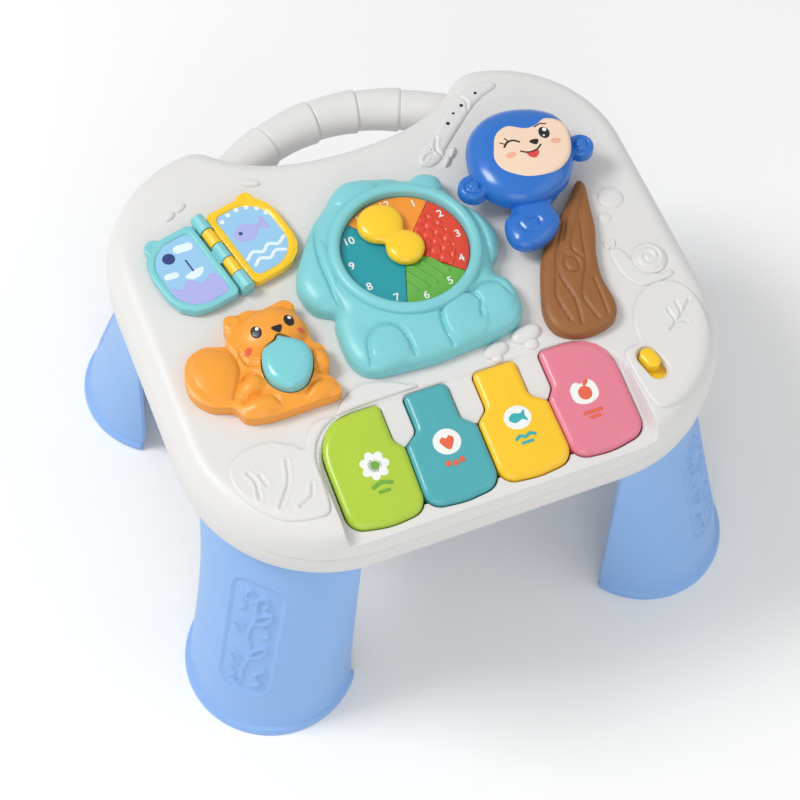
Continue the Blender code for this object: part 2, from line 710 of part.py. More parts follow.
def carry_handle():
    """Ringed bar across the hollow in the back edge."""
    part("carry_handle", tube_shape(handle_curve(HANDLE_RADIUS, True)), WHITE, 0.45,
         origin=(0, HANDLE_PEAK_Y, HANDLE_Z))
    return tool("handle_hole", tube_shape(handle_curve(HANDLE_RADIUS + GAP, False)))


def leg_frame(side, end):
    """Origin of a leg's corner and the signs of its diagonal."""
    if end < 0:
        x = TRAY_HALF_WIDTH - FRONT_CORNER_RADIUS
        y = FRONT_CORNER_RADIUS - TRAY_FRONT
    else:
        shift = BACK_LEG_SETBACK / math.sqrt(2)
        x = TRAY_HALF_WIDTH - BACK_CORNER_RADIUS - shift
        y = TRAY_SHOULDER - BACK_CORNER_RADIUS - shift
    return side * x, y, side, end


def leg_ring(frame, reach, end, half_chord, wall, height, grow=0.0, trim=0.0, half_width=0.0):
    """A C-shaped ring: an outer arc through the reach and both ends, or only its middle, and the inner arc back."""
    rise = reach - end
    radius = (half_chord ** 2 + rise ** 2) / (2 * rise)
    centre = reach - radius
    half = half_width / radius if half_width else math.atan2(half_chord, end - centre) - trim / radius
    angles = np.linspace(-half, half, LEG_STEPS)
    outer = radius + grow
    inner = radius - wall - grow
    u = np.concatenate((centre + outer * np.cos(angles), centre + inner * np.cos(angles[::-1])))
    v = np.concatenate((outer * np.sin(angles), inner * np.sin(angles[::-1])))
    x, y, side, back = frame
    plan = np.column_stack((x + side * (u - v) / math.sqrt(2), y + back * (u + v) / math.sqrt(2)))
    return level(plan, height)


def blend(high, low, share):
    """A value between two, the high one at share one."""
    return low + (high - low) * share


def plug_rings(frame, low, high, grow):
    """The upright plug at the top of a leg, grown for its slot or socket."""
    ring = dict(reach=LEG_TOP_REACH - PLUG_INSET, end=LEG_TOP_END - PLUG_INSET,
                half_chord=LEG_TOP_HALF_CHORD, wall=LEG_WALL - 2 * PLUG_INSET)
    trim = PLUG_END_INSET - grow
    return [leg_ring(frame, height=height, grow=grow, trim=trim, **ring) for height in (low, high)]


def leg(name, frame):
    """One moulded leg: plug, leaning shell, flared skirt and flat foot."""
    top = UNDER_Z - GAP
    rings = [leg_ring(frame, FOOT_REACH, FOOT_END, FOOT_HALF_CHORD, LEG_WALL, 0.0),
             leg_ring(frame, FOOT_REACH, FOOT_END, FOOT_HALF_CHORD, LEG_WALL, FOOT_LIP)]
    for share in LEG_LEVEL_SHARES[::-1]:
        rings.append(leg_ring(frame, wall=LEG_WALL, height=blend(top, SKIRT_Z, share), **leg_section(share)))
    rings += plug_rings(frame, top, UNDER_Z + PLUG_HEIGHT, 0.0)
    bm = bmesh.new()
    put_loft(bm, rings)
    x, y, _, _ = frame
    made = part(name, bm, LEG_BLUE, 0.45, origin=(x, y, UNDER_Z))
    return made


def leg_section(share):
    """Outer arc of the leaning shell at a share of its height."""
    return dict(reach=blend(LEG_TOP_REACH, SKIRT_REACH, share), end=blend(LEG_TOP_END, SKIRT_END, share),
                half_chord=blend(LEG_TOP_HALF_CHORD, SKIRT_HALF_CHORD, share))


def leg_panel(made, frame):
    """The shallow oblong panel on the leg's outer face."""
    bm = bmesh.new()
    put_loft(bm, [leg_ring(frame, wall=PANEL_DEPTH - LEG_WALL, height=height, grow=LEG_WALL,
                           half_width=PANEL_HALF_WIDTH, **leg_section((height - SKIRT_Z) / (UNDER_Z - GAP - SKIRT_Z)))
                  for height in (PANEL_LOW_Z, PANEL_HIGH_Z)])
    cut(made, made.name + "_panel", bm)


LEGS = {"leg_front_left": leg_frame(-1, -1), "leg_front_right": leg_frame(1, -1),
        "leg_back_left": leg_frame(-1, 1), "leg_back_right": leg_frame(1, 1)}


def key_loop(side, outer):
    """Plan of one key; the outer pair carries the large back corner."""
    shares = OUTER_KEY_SHARES if outer else INNER_KEY_SHARES
    small, tip = KEY_SMALL_RADIUS, KEY_TIP_RADIUS
    front, bow = KEY_FRONT_RADIUS, KEY_BOW_RADIUS
    radii = ((small, tip, small, front, bow, front, KEY_OUTER_RADIUS) if outer
             else (small, tip, small, front, bow, front, small, tip, small))
    corners = [(side * KEY_PITCH * x, KEY_BACK_Y - KEY_LENGTH * y, radius)
               for (x, y), radius in zip(shares, radii)]
    return filleted_loop(corners)


KEYS = (("green", -1, True, LIME), ("teal", -1, False, TEAL), ("yellow", 1, False, YELLOW),
        ("pink", 1, True, PINK))
ROD_Z = TOP_Z - ROD_DROP


def sloped(loop, above):
    """A ring that follows the key deck's slope."""
    return level(loop, deck_height(loop[:, 1]) + above)


def key_arm_x(side, outer):
    """Middle of a key's hinge arm."""
    return side * KEY_PITCH * (ARM_SHARE_OUTER if outer else ARM_SHARE_INNER)


def piano_key(colour_name, side, outer, colour):
    """A hollow key: bowed cap with rounded edges, hinge arm with knuckle, and a spring stud."""
    loop = key_loop(side, outer)
    bm = bmesh.new()
    put_loft(bm, [sloped(moved_in(loop, KEY_EDGE * inward) if inward else loop, blend(KEY_PROUD, -KEY_SKIRT, up))
                  for inward, up in ((0, 0), (0, 0.80), (0.3, 0.95), (1, 1))], open_bottom=True)
    made = part("key_" + colour_name, bm, colour, 0.3, origin=(0, ROD_Y, ROD_Z))
    shell = made.modifiers.new("shell", "SOLIDIFY")
    shell.thickness = KEY_WALL
    shell.offset = -1
    x = key_arm_x(side, outer)
    bm = bmesh.new()
    top = ROD_Z + ARM_HEIGHT / 2
    put_box(bm, (x - ARM_WIDTH / 2, KEY_BACK_Y - ARM_BITE, ROD_Z - ARM_HEIGHT / 2), (x + ARM_WIDTH / 2, ROD_Y - KNUCKLE_RADIUS / 2, top))
    add(made, made.name + "_arm", bm)
    bm = bmesh.new()
    put_rod(bm, (x - ARM_WIDTH / 2 + GAP, ROD_Y, ROD_Z), (x + ARM_WIDTH / 2 - GAP, ROD_Y, ROD_Z), KNUCKLE_RADIUS)
    add(made, made.name + "_knuckle", bm)
    bm = bmesh.new()
    put_rod(bm, (x - ARM_WIDTH, ROD_Y, ROD_Z), (x + ARM_WIDTH, ROD_Y, ROD_Z), ROD_RADIUS + GAP, 8)
    cut(made, made.name + "_bore", bm)
    bm = bmesh.new()
    ceiling = float(deck_height(KEY_SPRING_Y)) + KEY_PROUD - KEY_WALL / 2
    put_post(bm, x, KEY_SPRING_Y, key_stud_z(), ceiling, SPRING_RADIUS)
    add(made, made.name + "_stud", bm)
    return made


def key_stud_z():
    """Underside of the stud that the key's spring pushes."""
    return float(deck_height(KEY_SPRING_Y)) - KEY_SKIRT + WALL


def coil(name, x, y, low, high):
    """A compression spring as one unbroken tube."""
    curve = bpy.data.curves.new(name, "CURVE")
    curve.dimensions = "3D"
    curve.bevel_depth = SPRING_WIRE
    curve.bevel_resolution = 0
    curve.use_fill_caps = True
    spline = curve.splines.new("POLY")
    count = SPRING_TURNS * SPRING_POINTS + 1
    spline.points.add(count - 1)
    start = low + SPRING_WIRE + GAP
    finish = high - SPRING_WIRE - GAP
    radius = SPRING_RADIUS - SPRING_WIRE
    for index, point in enumerate(spline.points):
        angle = 2 * math.pi * index / SPRING_POINTS
        height = blend(finish, start, index / (count - 1))
        point.co = (x + radius * math.cos(angle), y + radius * math.sin(angle), height, 1)
    part(name, tube_shape(curve), STEEL, 0.3, 1.0, (x, y, low))


def put_mushroom(bm, x, y, radius):
    """Cap and stem of a little mushroom in relief."""
    put_dome(bm, x, y + radius / 4, CEILING_Z + WALL / 2, (radius, radius * 0.8, WALL / 2 + radius * DOME_SHARE))


def reliefs(casing):
    """Raised bush, cloud bank, mushrooms, snail and bumps on the tray."""
    for index, (x, y, radius) in enumerate(MUSHROOMS):
        bm = bmesh.new()
        put_mushroom(bm, x, y, radius)
        add(casing, "mushroom_%d" % index, bm)
        bm = bmesh.new()
        put_post(bm, x, y - radius / 2, CEILING_Z + WALL / 2, TOP_Z + RELIEF, radius / 3)
        add(casing, "mushroom_stem_%d" % index, bm)
    bm = bmesh.new()
    for x, y, radius in ROUND_BUMPS:
        put_dome(bm, x, y, CEILING_Z + WALL / 2, (radius, radius, WALL / 2 + RELIEF), steps=12)
    add(casing, "round_bumps", bm)
    bm = bmesh.new()
    x, y, radius = SNAIL_BODY
    put_dome(bm, x, y, CEILING_Z + WALL / 2, (radius, radius * DOME_SHARE, WALL / 2 + RELIEF * 1.5), -0.5, 12)
    add(casing, "snail_body", bm)
    bm = bmesh.new()
    x, y, radius = SNAIL_SHELL
    put_dome(bm, x, y, CEILING_Z + WALL / 2, (radius, radius, WALL / 2 + RELIEF * 2.2), steps=16)
    add(casing, "snail_shell", bm)
    for name, shares in (("bush", BUSH_SHARES), ("cloud", CLOUD_SHARES)):
        bm = bmesh.new()
        loop = counter_clockwise(flowing_loop(shares, 0, 0, TRAY_HALF_WIDTH))
        put_prism(bm, loop, CEILING_Z + WALL / 2, TOP_Z + RELIEF)
        add(casing, name, bm)


def figure_screws_at():
    """Places of the screws that hold the fixed figures, with the lowest height of each bite."""
    places = []
    for shares, x, y, size in ((ELEPHANT_BOSS_SHARES, ELEPHANT_X, ELEPHANT_Y, ELEPHANT_HALF_WIDTH),
                               (SQUIRREL_BOSS_SHARES, SQUIRREL_X, SQUIRREL_Y, SQUIRREL_HALF_WIDTH),
                               (TRUNK_BOSS_SHARES, TRUNK_X, TRUNK_Y, TRUNK_HALF_LENGTH)):
        places += [(x + size * a, y + size * b) for a, b in shares]
    return places


def spine_point(along, across, height):
    """A point in the book's frame: across the spine, along it, and above the tray."""
    x = SPINE_X + across * math.cos(SPINE_TURN) - along * math.sin(SPINE_TURN)
    y = SPINE_Y + across * math.sin(SPINE_TURN) + along * math.cos(SPINE_TURN)
    return x, y, TOP_Z + height


def switch_loop(half_width, half_length, shift=0.0):
    """A rounded oblong along the switch's travel."""
    corners = []
    for a, b in ((-1, -1), (1, -1), (1, 1), (-1, 1)):
        across = a * half_width
        along = b * half_length + shift
        corners.append((SWITCH_X + across * math.cos(SWITCH_TURN) - along * math.sin(SWITCH_TURN),
                        SWITCH_Y + across * math.sin(SWITCH_TURN) + along * math.cos(SWITCH_TURN),
                        half_width * 0.9))
    return filleted_loop(corners, math.radians(30))


def top_casing(handle_hole):
    """Tray moulding: rounded shoulder, sloping key deck, openings, bosses and rod hangers."""
    bm = bmesh.new()
    put_loft(bm, [tray_ring(CASING_EDGE * inward, SPLIT_Z + GAP / 2 + (CASING_RISE - GAP / 2) * up)
                  for inward, up in CASING_PROFILE_SHARES])
    casing = part("top_casing", bm, WHITE, 0.45)
    bm = bmesh.new()
    put_deck_space(bm, 0.0)
    cut(casing, "deck_space", bm)
    reliefs(casing)
    bm = bmesh.new()
    rings = [tray_ring(WALL + CASING_EDGE * inward, SPLIT_Z + (CASING_RISE - WALL) * up)
             for inward, up in INNER_PROFILE_SHARES]
    put_loft(bm, [tray_ring(WALL, SPLIT_Z - OVERRUN)] + rings[1:])
    hollow = tool("casing_hollow", bm)
    bm = bmesh.new()
    put_deck_space(bm, WALL)
    cut(hollow, "deck_plate", bm)
    combine(casing, hollow, "DIFFERENCE")
    for colour_name, side, outer, _ in KEYS:
        bm = bmesh.new()
        put_prism(bm, moved_in(key_loop(side, outer), -KEY_CLEARANCE), SPLIT_Z + OVERRUN, TOP_Z + OVERRUN)
        cut(casing, "opening_" + colour_name, bm)
    for index, share in enumerate(HANGER_PLACES_SHARES):
        x = KEY_PITCH * share
        bm = bmesh.new()
        put_box(bm, (x - HANGER_WIDTH / 2, ROD_Y - KNUCKLE_RADIUS, ROD_Z - KNUCKLE_RADIUS),
                (x + HANGER_WIDTH / 2, ROD_Y + KNUCKLE_RADIUS, CEILING_Z + WALL / 2))
        add(casing, "hanger_%d" % index, bm)
    bm = bmesh.new()
    put_rod(bm, (-ROD_HALF_LENGTH - GAP, ROD_Y, ROD_Z), (ROD_HALF_LENGTH + GAP, ROD_Y, ROD_Z), ROD_RADIUS + GAP)
    cut(casing, "rod_bore", bm)
    bm = bmesh.new()
    for x, y in SCREW_PLACES:
        put_post(bm, x, y, SPLIT_Z + GAP, CEILING_Z + WALL / 2, POST_RADIUS, 8)
    add(casing, "casing_bosses", bm)
    bm = bmesh.new()
    for x, y in SCREW_PLACES:
        put_post(bm, x, y, SPLIT_Z - OVERRUN, SPLIT_Z + SCREW_BITE + GAP, SCREW_SHANK + GAP, 6)
    for x, y in figure_screws_at():
        put_post(bm, x, y, CEILING_Z - OVERRUN, TOP_Z + OVERRUN, FIGURE_SCREW_SHANK + GAP, 6)
    put_post(bm, NUT_X, NUT_Y, CEILING_Z - OVERRUN, TOP_Z + OVERRUN, PLUNGER_RADIUS + RUN)
    put_post(bm, PIVOT_X, PIVOT_Y, CEILING_Z - OVERRUN, TOP_Z + OVERRUN, PIN_RADIUS + RUN)
    cut(casing, "casing_holes", bm)
    bm = bmesh.new()
    put_prism(bm, switch_loop(SLOT_HALF_WIDTH, SLOT_HALF_LENGTH), CEILING_Z - OVERRUN, TOP_Z + 2 * OVERRUN)
    cut(casing, "switch_slot", bm)
    bm = bmesh.new()
    low = CEILING_Z - GAP - SLIDER_THICKNESS - GAP - SWITCH_BODY[2]
    for side in (-1, 1):
        inner = SWITCH_X + side * (SLIDER_HALF_WIDTH + RUN)
        outer = inner + side * SWITCH_CHEEK
        put_box(bm, (min(inner, outer), SWITCH_Y - SWITCH_BODY[1] / 2, low),
                (max(inner, outer), SWITCH_Y + SWITCH_BODY[1] / 2, CEILING_Z + WALL / 2), SWITCH_TURN,
                (SWITCH_X, SWITCH_Y))
    add(casing, "switch_cheeks", bm)
    combine(casing, handle_hole, "DIFFERENCE")


def grille_places():
    """Hexagonal pattern of sound holes inside the speaker's cone."""
    places = []
    rows = int(SPEAKER_RADIUS / GRILLE_PITCH)
    for row in range(-rows, rows + 1):
        for column in range(-rows - 1, rows + 2):
            x = (column + (row % 2) / 2) * GRILLE_PITCH
            y = row * GRILLE_PITCH * math.sqrt(3) / 2
            if math.hypot(x, y) < SPEAKER_RADIUS - GRILLE_PITCH:
                places.append((SPEAKER_X + x, SPEAKER_Y + y))
    return places


def well_loop(grow):
    """Plan of the battery well."""
    corners = [(WELL_X + a * (WELL_HALF_LENGTH + grow), WELL_Y + b * (WELL_HALF_WIDTH + grow), WALL)
               for a, b in ((-1, -1), (1, -1), (1, 1), (-1, 1))]
    return filleted_loop(corners, math.radians(45))


def bottom_casing(handle_hole):
    """Lower tray with leg sockets, battery well, speaker ring, posts and grille."""
    depth = CASING_DEPTH - GAP / 2
    bm = bmesh.new()
    put_loft(bm, [tray_ring(BASE_EDGE * inward, UNDER_Z + depth * up) for inward, up in BASE_PROFILE_SHARES])
    casing = part("bottom_casing", bm, WHITE, 0.5)
    bm = bmesh.new()
    rings = [tray_ring(WALL + BASE_EDGE * inward, FLOOR_Z + (depth - WALL) * up) for inward, up in BASE_PROFILE_SHARES]
    put_loft(bm, rings[:-1] + [tray_ring(WALL, SPLIT_Z + OVERRUN)])
    cut(casing, "base_hollow", bm)
    bm = bmesh.new()
    for frame in LEGS.values():
        put_loft(bm, plug_rings(frame, UNDER_Z + WALL / 2, UNDER_Z + PLUG_HEIGHT + GAP + SOCKET_WALL, SOCKET_WALL + GAP))
    add(casing, "leg_sockets", bm)
    bm = bmesh.new()
    put_prism(bm, well_loop(WELL_WALL), UNDER_Z + WALL / 2, UNDER_Z + WELL_HEIGHT + WELL_WALL)
    add(casing, "well_walls", bm)
    bm = bmesh.new()
    for frame in LEGS.values():
        put_loft(bm, plug_rings(frame, UNDER_Z - OVERRUN, UNDER_Z + PLUG_HEIGHT + GAP, GAP))
    cut(casing, "leg_slots", bm)
    bm = bmesh.new()
    put_prism(bm, well_loop(0.0), UNDER_Z - OVERRUN, UNDER_Z + WELL_HEIGHT)
    cut(casing, "well_space", bm)
    bm = bmesh.new()
    for x, y in SCREW_PLACES:
        put_post(bm, x, y, UNDER_Z + WALL / 2, SPLIT_Z - GAP, POST_RADIUS, 8)
    for x, y in BOARD_POSTS:
        put_post(bm, x, y, UNDER_Z + WALL / 2, BOARD_TOP_Z - BOARD_THICKNESS - GAP, BOARD_POST_RADIUS, 6)
    put_post(bm, SPEAKER_X, SPEAKER_Y, UNDER_Z + WALL / 2, FLOOR_Z + SPEAKER_RING_HEIGHT,
             SPEAKER_RADIUS + GAP + SPEAKER_RING, 24)
    add(casing, "base_posts", bm)
    bm = bmesh.new()
    put_post(bm, SPEAKER_X, SPEAKER_Y, FLOOR_Z, FLOOR_Z + SPEAKER_RING_HEIGHT + OVERRUN, SPEAKER_RADIUS + GAP, 24)
    for x, y in SCREW_PLACES:
        put_post(bm, x, y, UNDER_Z - OVERRUN, UNDER_Z + SCREW_HEAD_HEIGHT + GAP, SCREW_HEAD + GAP)
    cut(casing, "speaker_seat", bm)
    bm = bmesh.new()
    for x, y in grille_places():
        put_post(bm, x, y, UNDER_Z - OVERRUN, FLOOR_Z + OVERRUN, GRILLE_HOLE, 6)
    for x, y in SCREW_PLACES:
        put_post(bm, x, y, UNDER_Z, SPLIT_Z + OVERRUN, SCREW_SHANK + GAP, 6)
    put_rod(bm, (WELL_X - WELL_HALF_LENGTH - 2 * WELL_WALL, BATTERY_LEAD[0][1], BATTERY_LEAD[0][2]),
            (WELL_X - WELL_HALF_LENGTH + WELL_WALL, BATTERY_LEAD[0][1], BATTERY_LEAD[0][2]), LEAD_HOLE, 6)
    cut(casing, "base_holes", bm)
    combine(casing, handle_hole, "DIFFERENCE")


def elephant():
    """Hollow elephant shell with a dial cup, screw bosses and feet in relief."""
    loop = counter_clockwise(flowing_loop(ELEPHANT_SHARES, ELEPHANT_X, ELEPHANT_Y, ELEPHANT_HALF_WIDTH))
    bm = bmesh.new()
    put_pillow(bm, loop, TOP_Z + GAP, TOP_Z + ELEPHANT_HEIGHT, ELEPHANT_EDGE)
    body = part("elephant_body", bm, TURQUOISE, 0.4)
    bm = bmesh.new()
    inner = moved_in(loop, WALL)
    ceiling = TOP_Z + ELEPHANT_HEIGHT - WALL
    put_loft(bm, (level(inner, TOP_Z - OVERRUN), level(inner, TOP_Z + ELEPHANT_HEIGHT / 3),
                  level(moved_in(inner, ELEPHANT_EDGE / 2), ceiling)))
    cut(body, "elephant_hollow", bm)
    bm = bmesh.new()
    put_post(bm, DIAL_X, DIAL_Y, TOP_Z + DIAL_FLOOR - DIAL_FLOOR_THICKNESS, TOP_Z + RIM_HEIGHT - RIM_SHOULDER,
             RIM_RADIUS, 28)
    add(body, "dial_cup", bm)
    bm = bmesh.new()
    put_post(bm, DIAL_X, DIAL_Y, TOP_Z + RIM_HEIGHT - RIM_SHOULDER - OVERRUN, TOP_Z + RIM_HEIGHT,
             RIM_RADIUS - GAP, 28, RIM_RADIUS - RIM_SHOULDER)
    add(body, "dial_rim", bm)
    bm = bmesh.new()
    put_post(bm, DIAL_X, DIAL_Y, TOP_Z + DIAL_FLOOR, TOP_Z + RIM_HEIGHT + OVERRUN, DIAL_RADIUS + GAP, 28)
    cut(body, "dial_space", bm)
    bm = bmesh.new()
    for a, b in ELEPHANT_BOSS_SHARES:
        put_post(bm, ELEPHANT_X + ELEPHANT_HALF_WIDTH * a, ELEPHANT_Y + ELEPHANT_HALF_WIDTH * b, TOP_Z + GAP,
                 TOP_Z + ELEPHANT_HEIGHT - WALL / 2, BOSS_RADIUS)
    add(body, "elephant_bosses", bm)
    bm = bmesh.new()
    for a, b in ELEPHANT_BOSS_SHARES:
        put_post(bm, ELEPHANT_X + ELEPHANT_HALF_WIDTH * a, ELEPHANT_Y + ELEPHANT_HALF_WIDTH * b, TOP_Z - OVERRUN,
                 TOP_Z + FIGURE_SCREW_BITE + GAP, FIGURE_SCREW_SHANK + GAP, 6)
    put_post(bm, DIAL_X, DIAL_Y, TOP_Z, TOP_Z + RIM_HEIGHT, SHAFT_RADIUS + RUN)
    cut(body, "elephant_holes", bm)


def sector_loop(first, last, inner, outer):
    """Plan of a ring sector between two angles, narrowed by the gap at each straight side."""
    start = math.radians(first)
    finish = math.radians(last)
    rows = []
    for radius, ends in ((outer, (start, finish)), (inner, (finish, start))):
        slim = math.copysign(GAP / 2 / radius, ends[1] - ends[0])
        for angle in np.linspace(ends[0] + slim, ends[1] - slim, 11 if radius == outer else 5):
            rows.append((DIAL_X + radius * math.cos(angle), DIAL_Y + radius * math.sin(angle)))
    return counter_clockwise(np.array(rows))


def dial_inserts():
    """Four coloured sectors: plain orange and teal, ribbed green, bumpy red."""
    low = TOP_Z + DIAL_FLOOR + GAP
    high = low + INSERT_THICKNESS
    colours = {"orange": ORANGE, "teal": TEAL, "green": GREEN, "red": RED}
    for name, first, last in SECTORS:
        bm = bmesh.new()
        put_prism(bm, sector_loop(first, last, INSERT_HUB_RADIUS, DIAL_RADIUS - GAP), low, high)
        insert = part("dial_insert_" + name, bm, colours[name], 0.35)
        middle = math.radians((first + last) / 2)
        if name == "green":
            bm = bmesh.new()
            outward = Vector((math.cos(middle), math.sin(middle), 0))
            along = Vector((-outward.y, outward.x, 0))
            slant = (outward + along * RIDGE_SLANT_SHARE).normalized() * RIDGE_HALF_LENGTH
            for row in (-1, 0, 1):
                centre = Vector((DIAL_X, DIAL_Y, high)) + outward * RIDGE_PLACE + along * row * RIDGE_PITCH
                put_rod(bm, centre - slant, centre + slant, RIDGE_RADIUS, 6)
            add(insert, "green_ridges", bm)
        if name == "red":
            bm = bmesh.new()
            for ring, radius in enumerate((0.5, 0.8)):
                for step in range(-1 - ring, 2 + ring):
                    angle = middle + step * BUMP_PITCH / (radius * DIAL_RADIUS)
                    put_dome(bm, DIAL_X + DIAL_RADIUS * radius * math.cos(angle),
                             DIAL_Y + DIAL_RADIUS * radius * math.sin(angle), high - INSERT_THICKNESS / 2,
                             (BUMP_RADIUS, BUMP_RADIUS, INSERT_THICKNESS / 2 + BUMP_HEIGHT), steps=6)
            add(insert, "red_bumps", bm)


def clock_pointer():
    """Two-lobed pointer on a shaft that a clip holds below the cup's floor."""
    low = TOP_Z + DIAL_FLOOR + GAP + INSERT_THICKNESS + BUMP_HEIGHT + GAP
    clip_top = TOP_Z + DIAL_FLOOR - DIAL_FLOOR_THICKNESS - GAP
    origin = (DIAL_X, DIAL_Y, low)
    bm = bmesh.new()
    put_dome(bm, DIAL_X, DIAL_Y, low, (HUB_RADIUS, HUB_RADIUS, POINTER_THICKNESS), steps=16)
    pointer = part("clock_pointer", bm, YELLOW, 0.35, origin=origin)
    bm = bmesh.new()
    put_dome(bm, DIAL_X + HEAD_REACH * math.cos(HEAD_LEAN), DIAL_Y + HEAD_REACH * math.sin(HEAD_LEAN), low,
             (HEAD_RADIUS, HEAD_RADIUS * 0.92, POINTER_THICKNESS * 1.15), HEAD_LEAN, 16)
    add(pointer, "pointer_head", bm)
    bm = bmesh.new()
    put_post(bm, DIAL_X, DIAL_Y, clip_top - CLIP_THICKNESS * 1.5, low + POINTER_THICKNESS / 2, SHAFT_RADIUS)
    add(pointer, "pointer_shaft", bm)
    bm = bmesh.new()
    put_post(bm, DIAL_X, DIAL_Y, clip_top - CLIP_THICKNESS, clip_top, CLIP_RADIUS)
    clip = part("pointer_clip", bm, STEEL, 0.3, 1.0, origin)
    bm = bmesh.new()
    put_post(bm, DIAL_X, DIAL_Y, TOP_Z, clip_top + OVERRUN, SHAFT_RADIUS + GAP)
    cut(clip, "clip_bore", bm)


def nut_loop():
    """Plan of the nut."""
    return counter_clockwise(flowing_loop(NUT_SHARES, NUT_X, NUT_Y, NUT_HALF_WIDTH))


def squirrel():
    """Moulded squirrel: plate outline with tail, head, belly, paw and ears, and a well for the nut."""
    size = SQUIRREL_HALF_WIDTH
    bm = bmesh.new()
    loop = counter_clockwise(flowing_loop(SQUIRREL_SHARES, SQUIRREL_X, SQUIRREL_Y, size))
    put_pillow(bm, loop, TOP_Z + GAP, TOP_Z + SQUIRREL_BASE, SQUIRREL_EDGE)
    body = part("squirrel_body", bm, ORANGE, 0.4)
    for index, (x, y, across, along, rise, turn) in enumerate(SQUIRREL_LOBE_SHARES):
        bm = bmesh.new()
        put_dome(bm, SQUIRREL_X + size * x, SQUIRREL_Y + size * y, TOP_Z + SQUIRREL_BASE / 2,
                 (size * across, size * along, SQUIRREL_BASE / 2 + size * rise), turn, 12)
        add(body, "squirrel_lobe_%d" % index, bm)
    bm = bmesh.new()
    put_prism(bm, moved_in(nut_loop(), -RUN), TOP_Z + NUT_TOP - NUT_DEPTH - NUT_TRAVEL - RUN, TOP_Z + 2 * NUT_TOP)
    cut(body, "nut_well", bm)
    bm = bmesh.new()
    put_post(bm, NUT_X, NUT_Y, TOP_Z - OVERRUN, TOP_Z + SQUIRREL_BASE, PLUNGER_RADIUS + RUN)
    for a, b in SQUIRREL_BOSS_SHARES:
        put_post(bm, SQUIRREL_X + size * a, SQUIRREL_Y + size * b, TOP_Z - OVERRUN, TOP_Z + FIGURE_SCREW_BITE + GAP,
                 FIGURE_SCREW_SHANK + GAP, 6)
    cut(body, "squirrel_holes", bm)


def nut():
    """Push button in the shape of a nut, with a plunger down to its spring."""
    bm = bmesh.new()
    put_pillow(bm, nut_loop(), TOP_Z + NUT_TOP - NUT_DEPTH, TOP_Z + NUT_TOP, NUT_EDGE, 0.6)
    button = part("nut_button", bm, TURQUOISE, 0.3, origin=(NUT_X, NUT_Y, TOP_Z))
    bm = bmesh.new()
    put_post(bm, NUT_X, NUT_Y, PLUNGER_END_Z, TOP_Z + NUT_TOP - NUT_DEPTH / 2, PLUNGER_RADIUS)
    add(button, "nut_plunger", bm)
    coil("nut_spring", NUT_X, NUT_Y, BOARD_TOP_Z, PLUNGER_END_Z)


def monkey():
    """Rocking monkey: body lobe, tall head with ears and a recessed face plate, on a pivot pin."""
    origin = (PIVOT_X, PIVOT_Y, TOP_Z)
    body_loop = counter_clockwise(flowing_loop(MONKEY_BODY_SHARES, PIVOT_X, PIVOT_Y, MONKEY_SIZE))
    head_loop = counter_clockwise(flowing_loop(MONKEY_HEAD_SHARES, PIVOT_X, PIVOT_Y, MONKEY_SIZE))
    face_loop = counter_clockwise(flowing_loop(FACE_SHARES, PIVOT_X, PIVOT_Y, MONKEY_SIZE))
    bm = bmesh.new()
    put_pillow(bm, body_loop, TOP_Z + MONKEY_BODY_BASE, TOP_Z + MONKEY_BODY_TOP, MONKEY_EDGE / 2, 0.35)
    body = part("monkey_body", bm, BLUE, 0.3, origin=origin)
    bm = bmesh.new()
    put_pillow(bm, head_loop, TOP_Z + MONKEY_HEAD_BASE, TOP_Z + MONKEY_HEAD_TOP, MONKEY_EDGE, 0.35)
    add(body, "monkey_head", bm)
    radius = EAR_RADIUS_SHARE * MONKEY_SIZE
    for index, (a, b) in enumerate(EAR_SHARES):
        bm = bmesh.new()
        put_dome(bm, PIVOT_X + MONKEY_SIZE * a, PIVOT_Y + MONKEY_SIZE * b, TOP_Z + MONKEY_HEAD_BASE + GAP,
                 (radius, radius, EAR_TOP - MONKEY_HEAD_BASE), steps=12)
        add(body, "monkey_ear_%d" % index, bm)
    bm = bmesh.new()
    put_prism(bm, moved_in(face_loop, -GAP), TOP_Z + MONKEY_HEAD_TOP - FACE_RECESS, TOP_Z + 2 * MONKEY_HEAD_TOP)
    cut(body, "face_recess", bm)
    bm = bmesh.new()
    put_post(bm, PIVOT_X, PIVOT_Y, TOP_Z + GAP, TOP_Z + MONKEY_BODY_BASE + OVERRUN, COLLAR_RADIUS)
    add(body, "monkey_collar", bm)
    bm = bmesh.new()
    put_post(bm, PIVOT_X, PIVOT_Y, TOP_Z - OVERRUN, TOP_Z + MONKEY_BODY_BASE, PIN_RADIUS + GAP)
    cut(body, "monkey_bore", bm)
    bm = bmesh.new()
    put_pillow(bm, face_loop, TOP_Z + MONKEY_HEAD_TOP - FACE_RECESS + GAP, TOP_Z + MONKEY_HEAD_TOP + FACE_PROUD,
               FACE_EDGE, 0.6)
    part("monkey_face", bm, SKIN, 0.45, origin=origin)
    bm = bmesh.new()
    put_post(bm, PIVOT_X, PIVOT_Y, CEILING_Z - GAP - PIN_HEAD_THICKNESS, CEILING_Z - GAP, PIN_HEAD_RADIUS, 16)
    pin = part("monkey_pin", bm, STEEL, 0.3, 1.0, origin)
    bm = bmesh.new()
    put_post(bm, PIVOT_X, PIVOT_Y, CEILING_Z - GAP - PIN_HEAD_THICKNESS / 2, TOP_Z + MONKEY_BODY_BASE - GAP, PIN_RADIUS)
    add(pin, "monkey_pin_shank", bm)


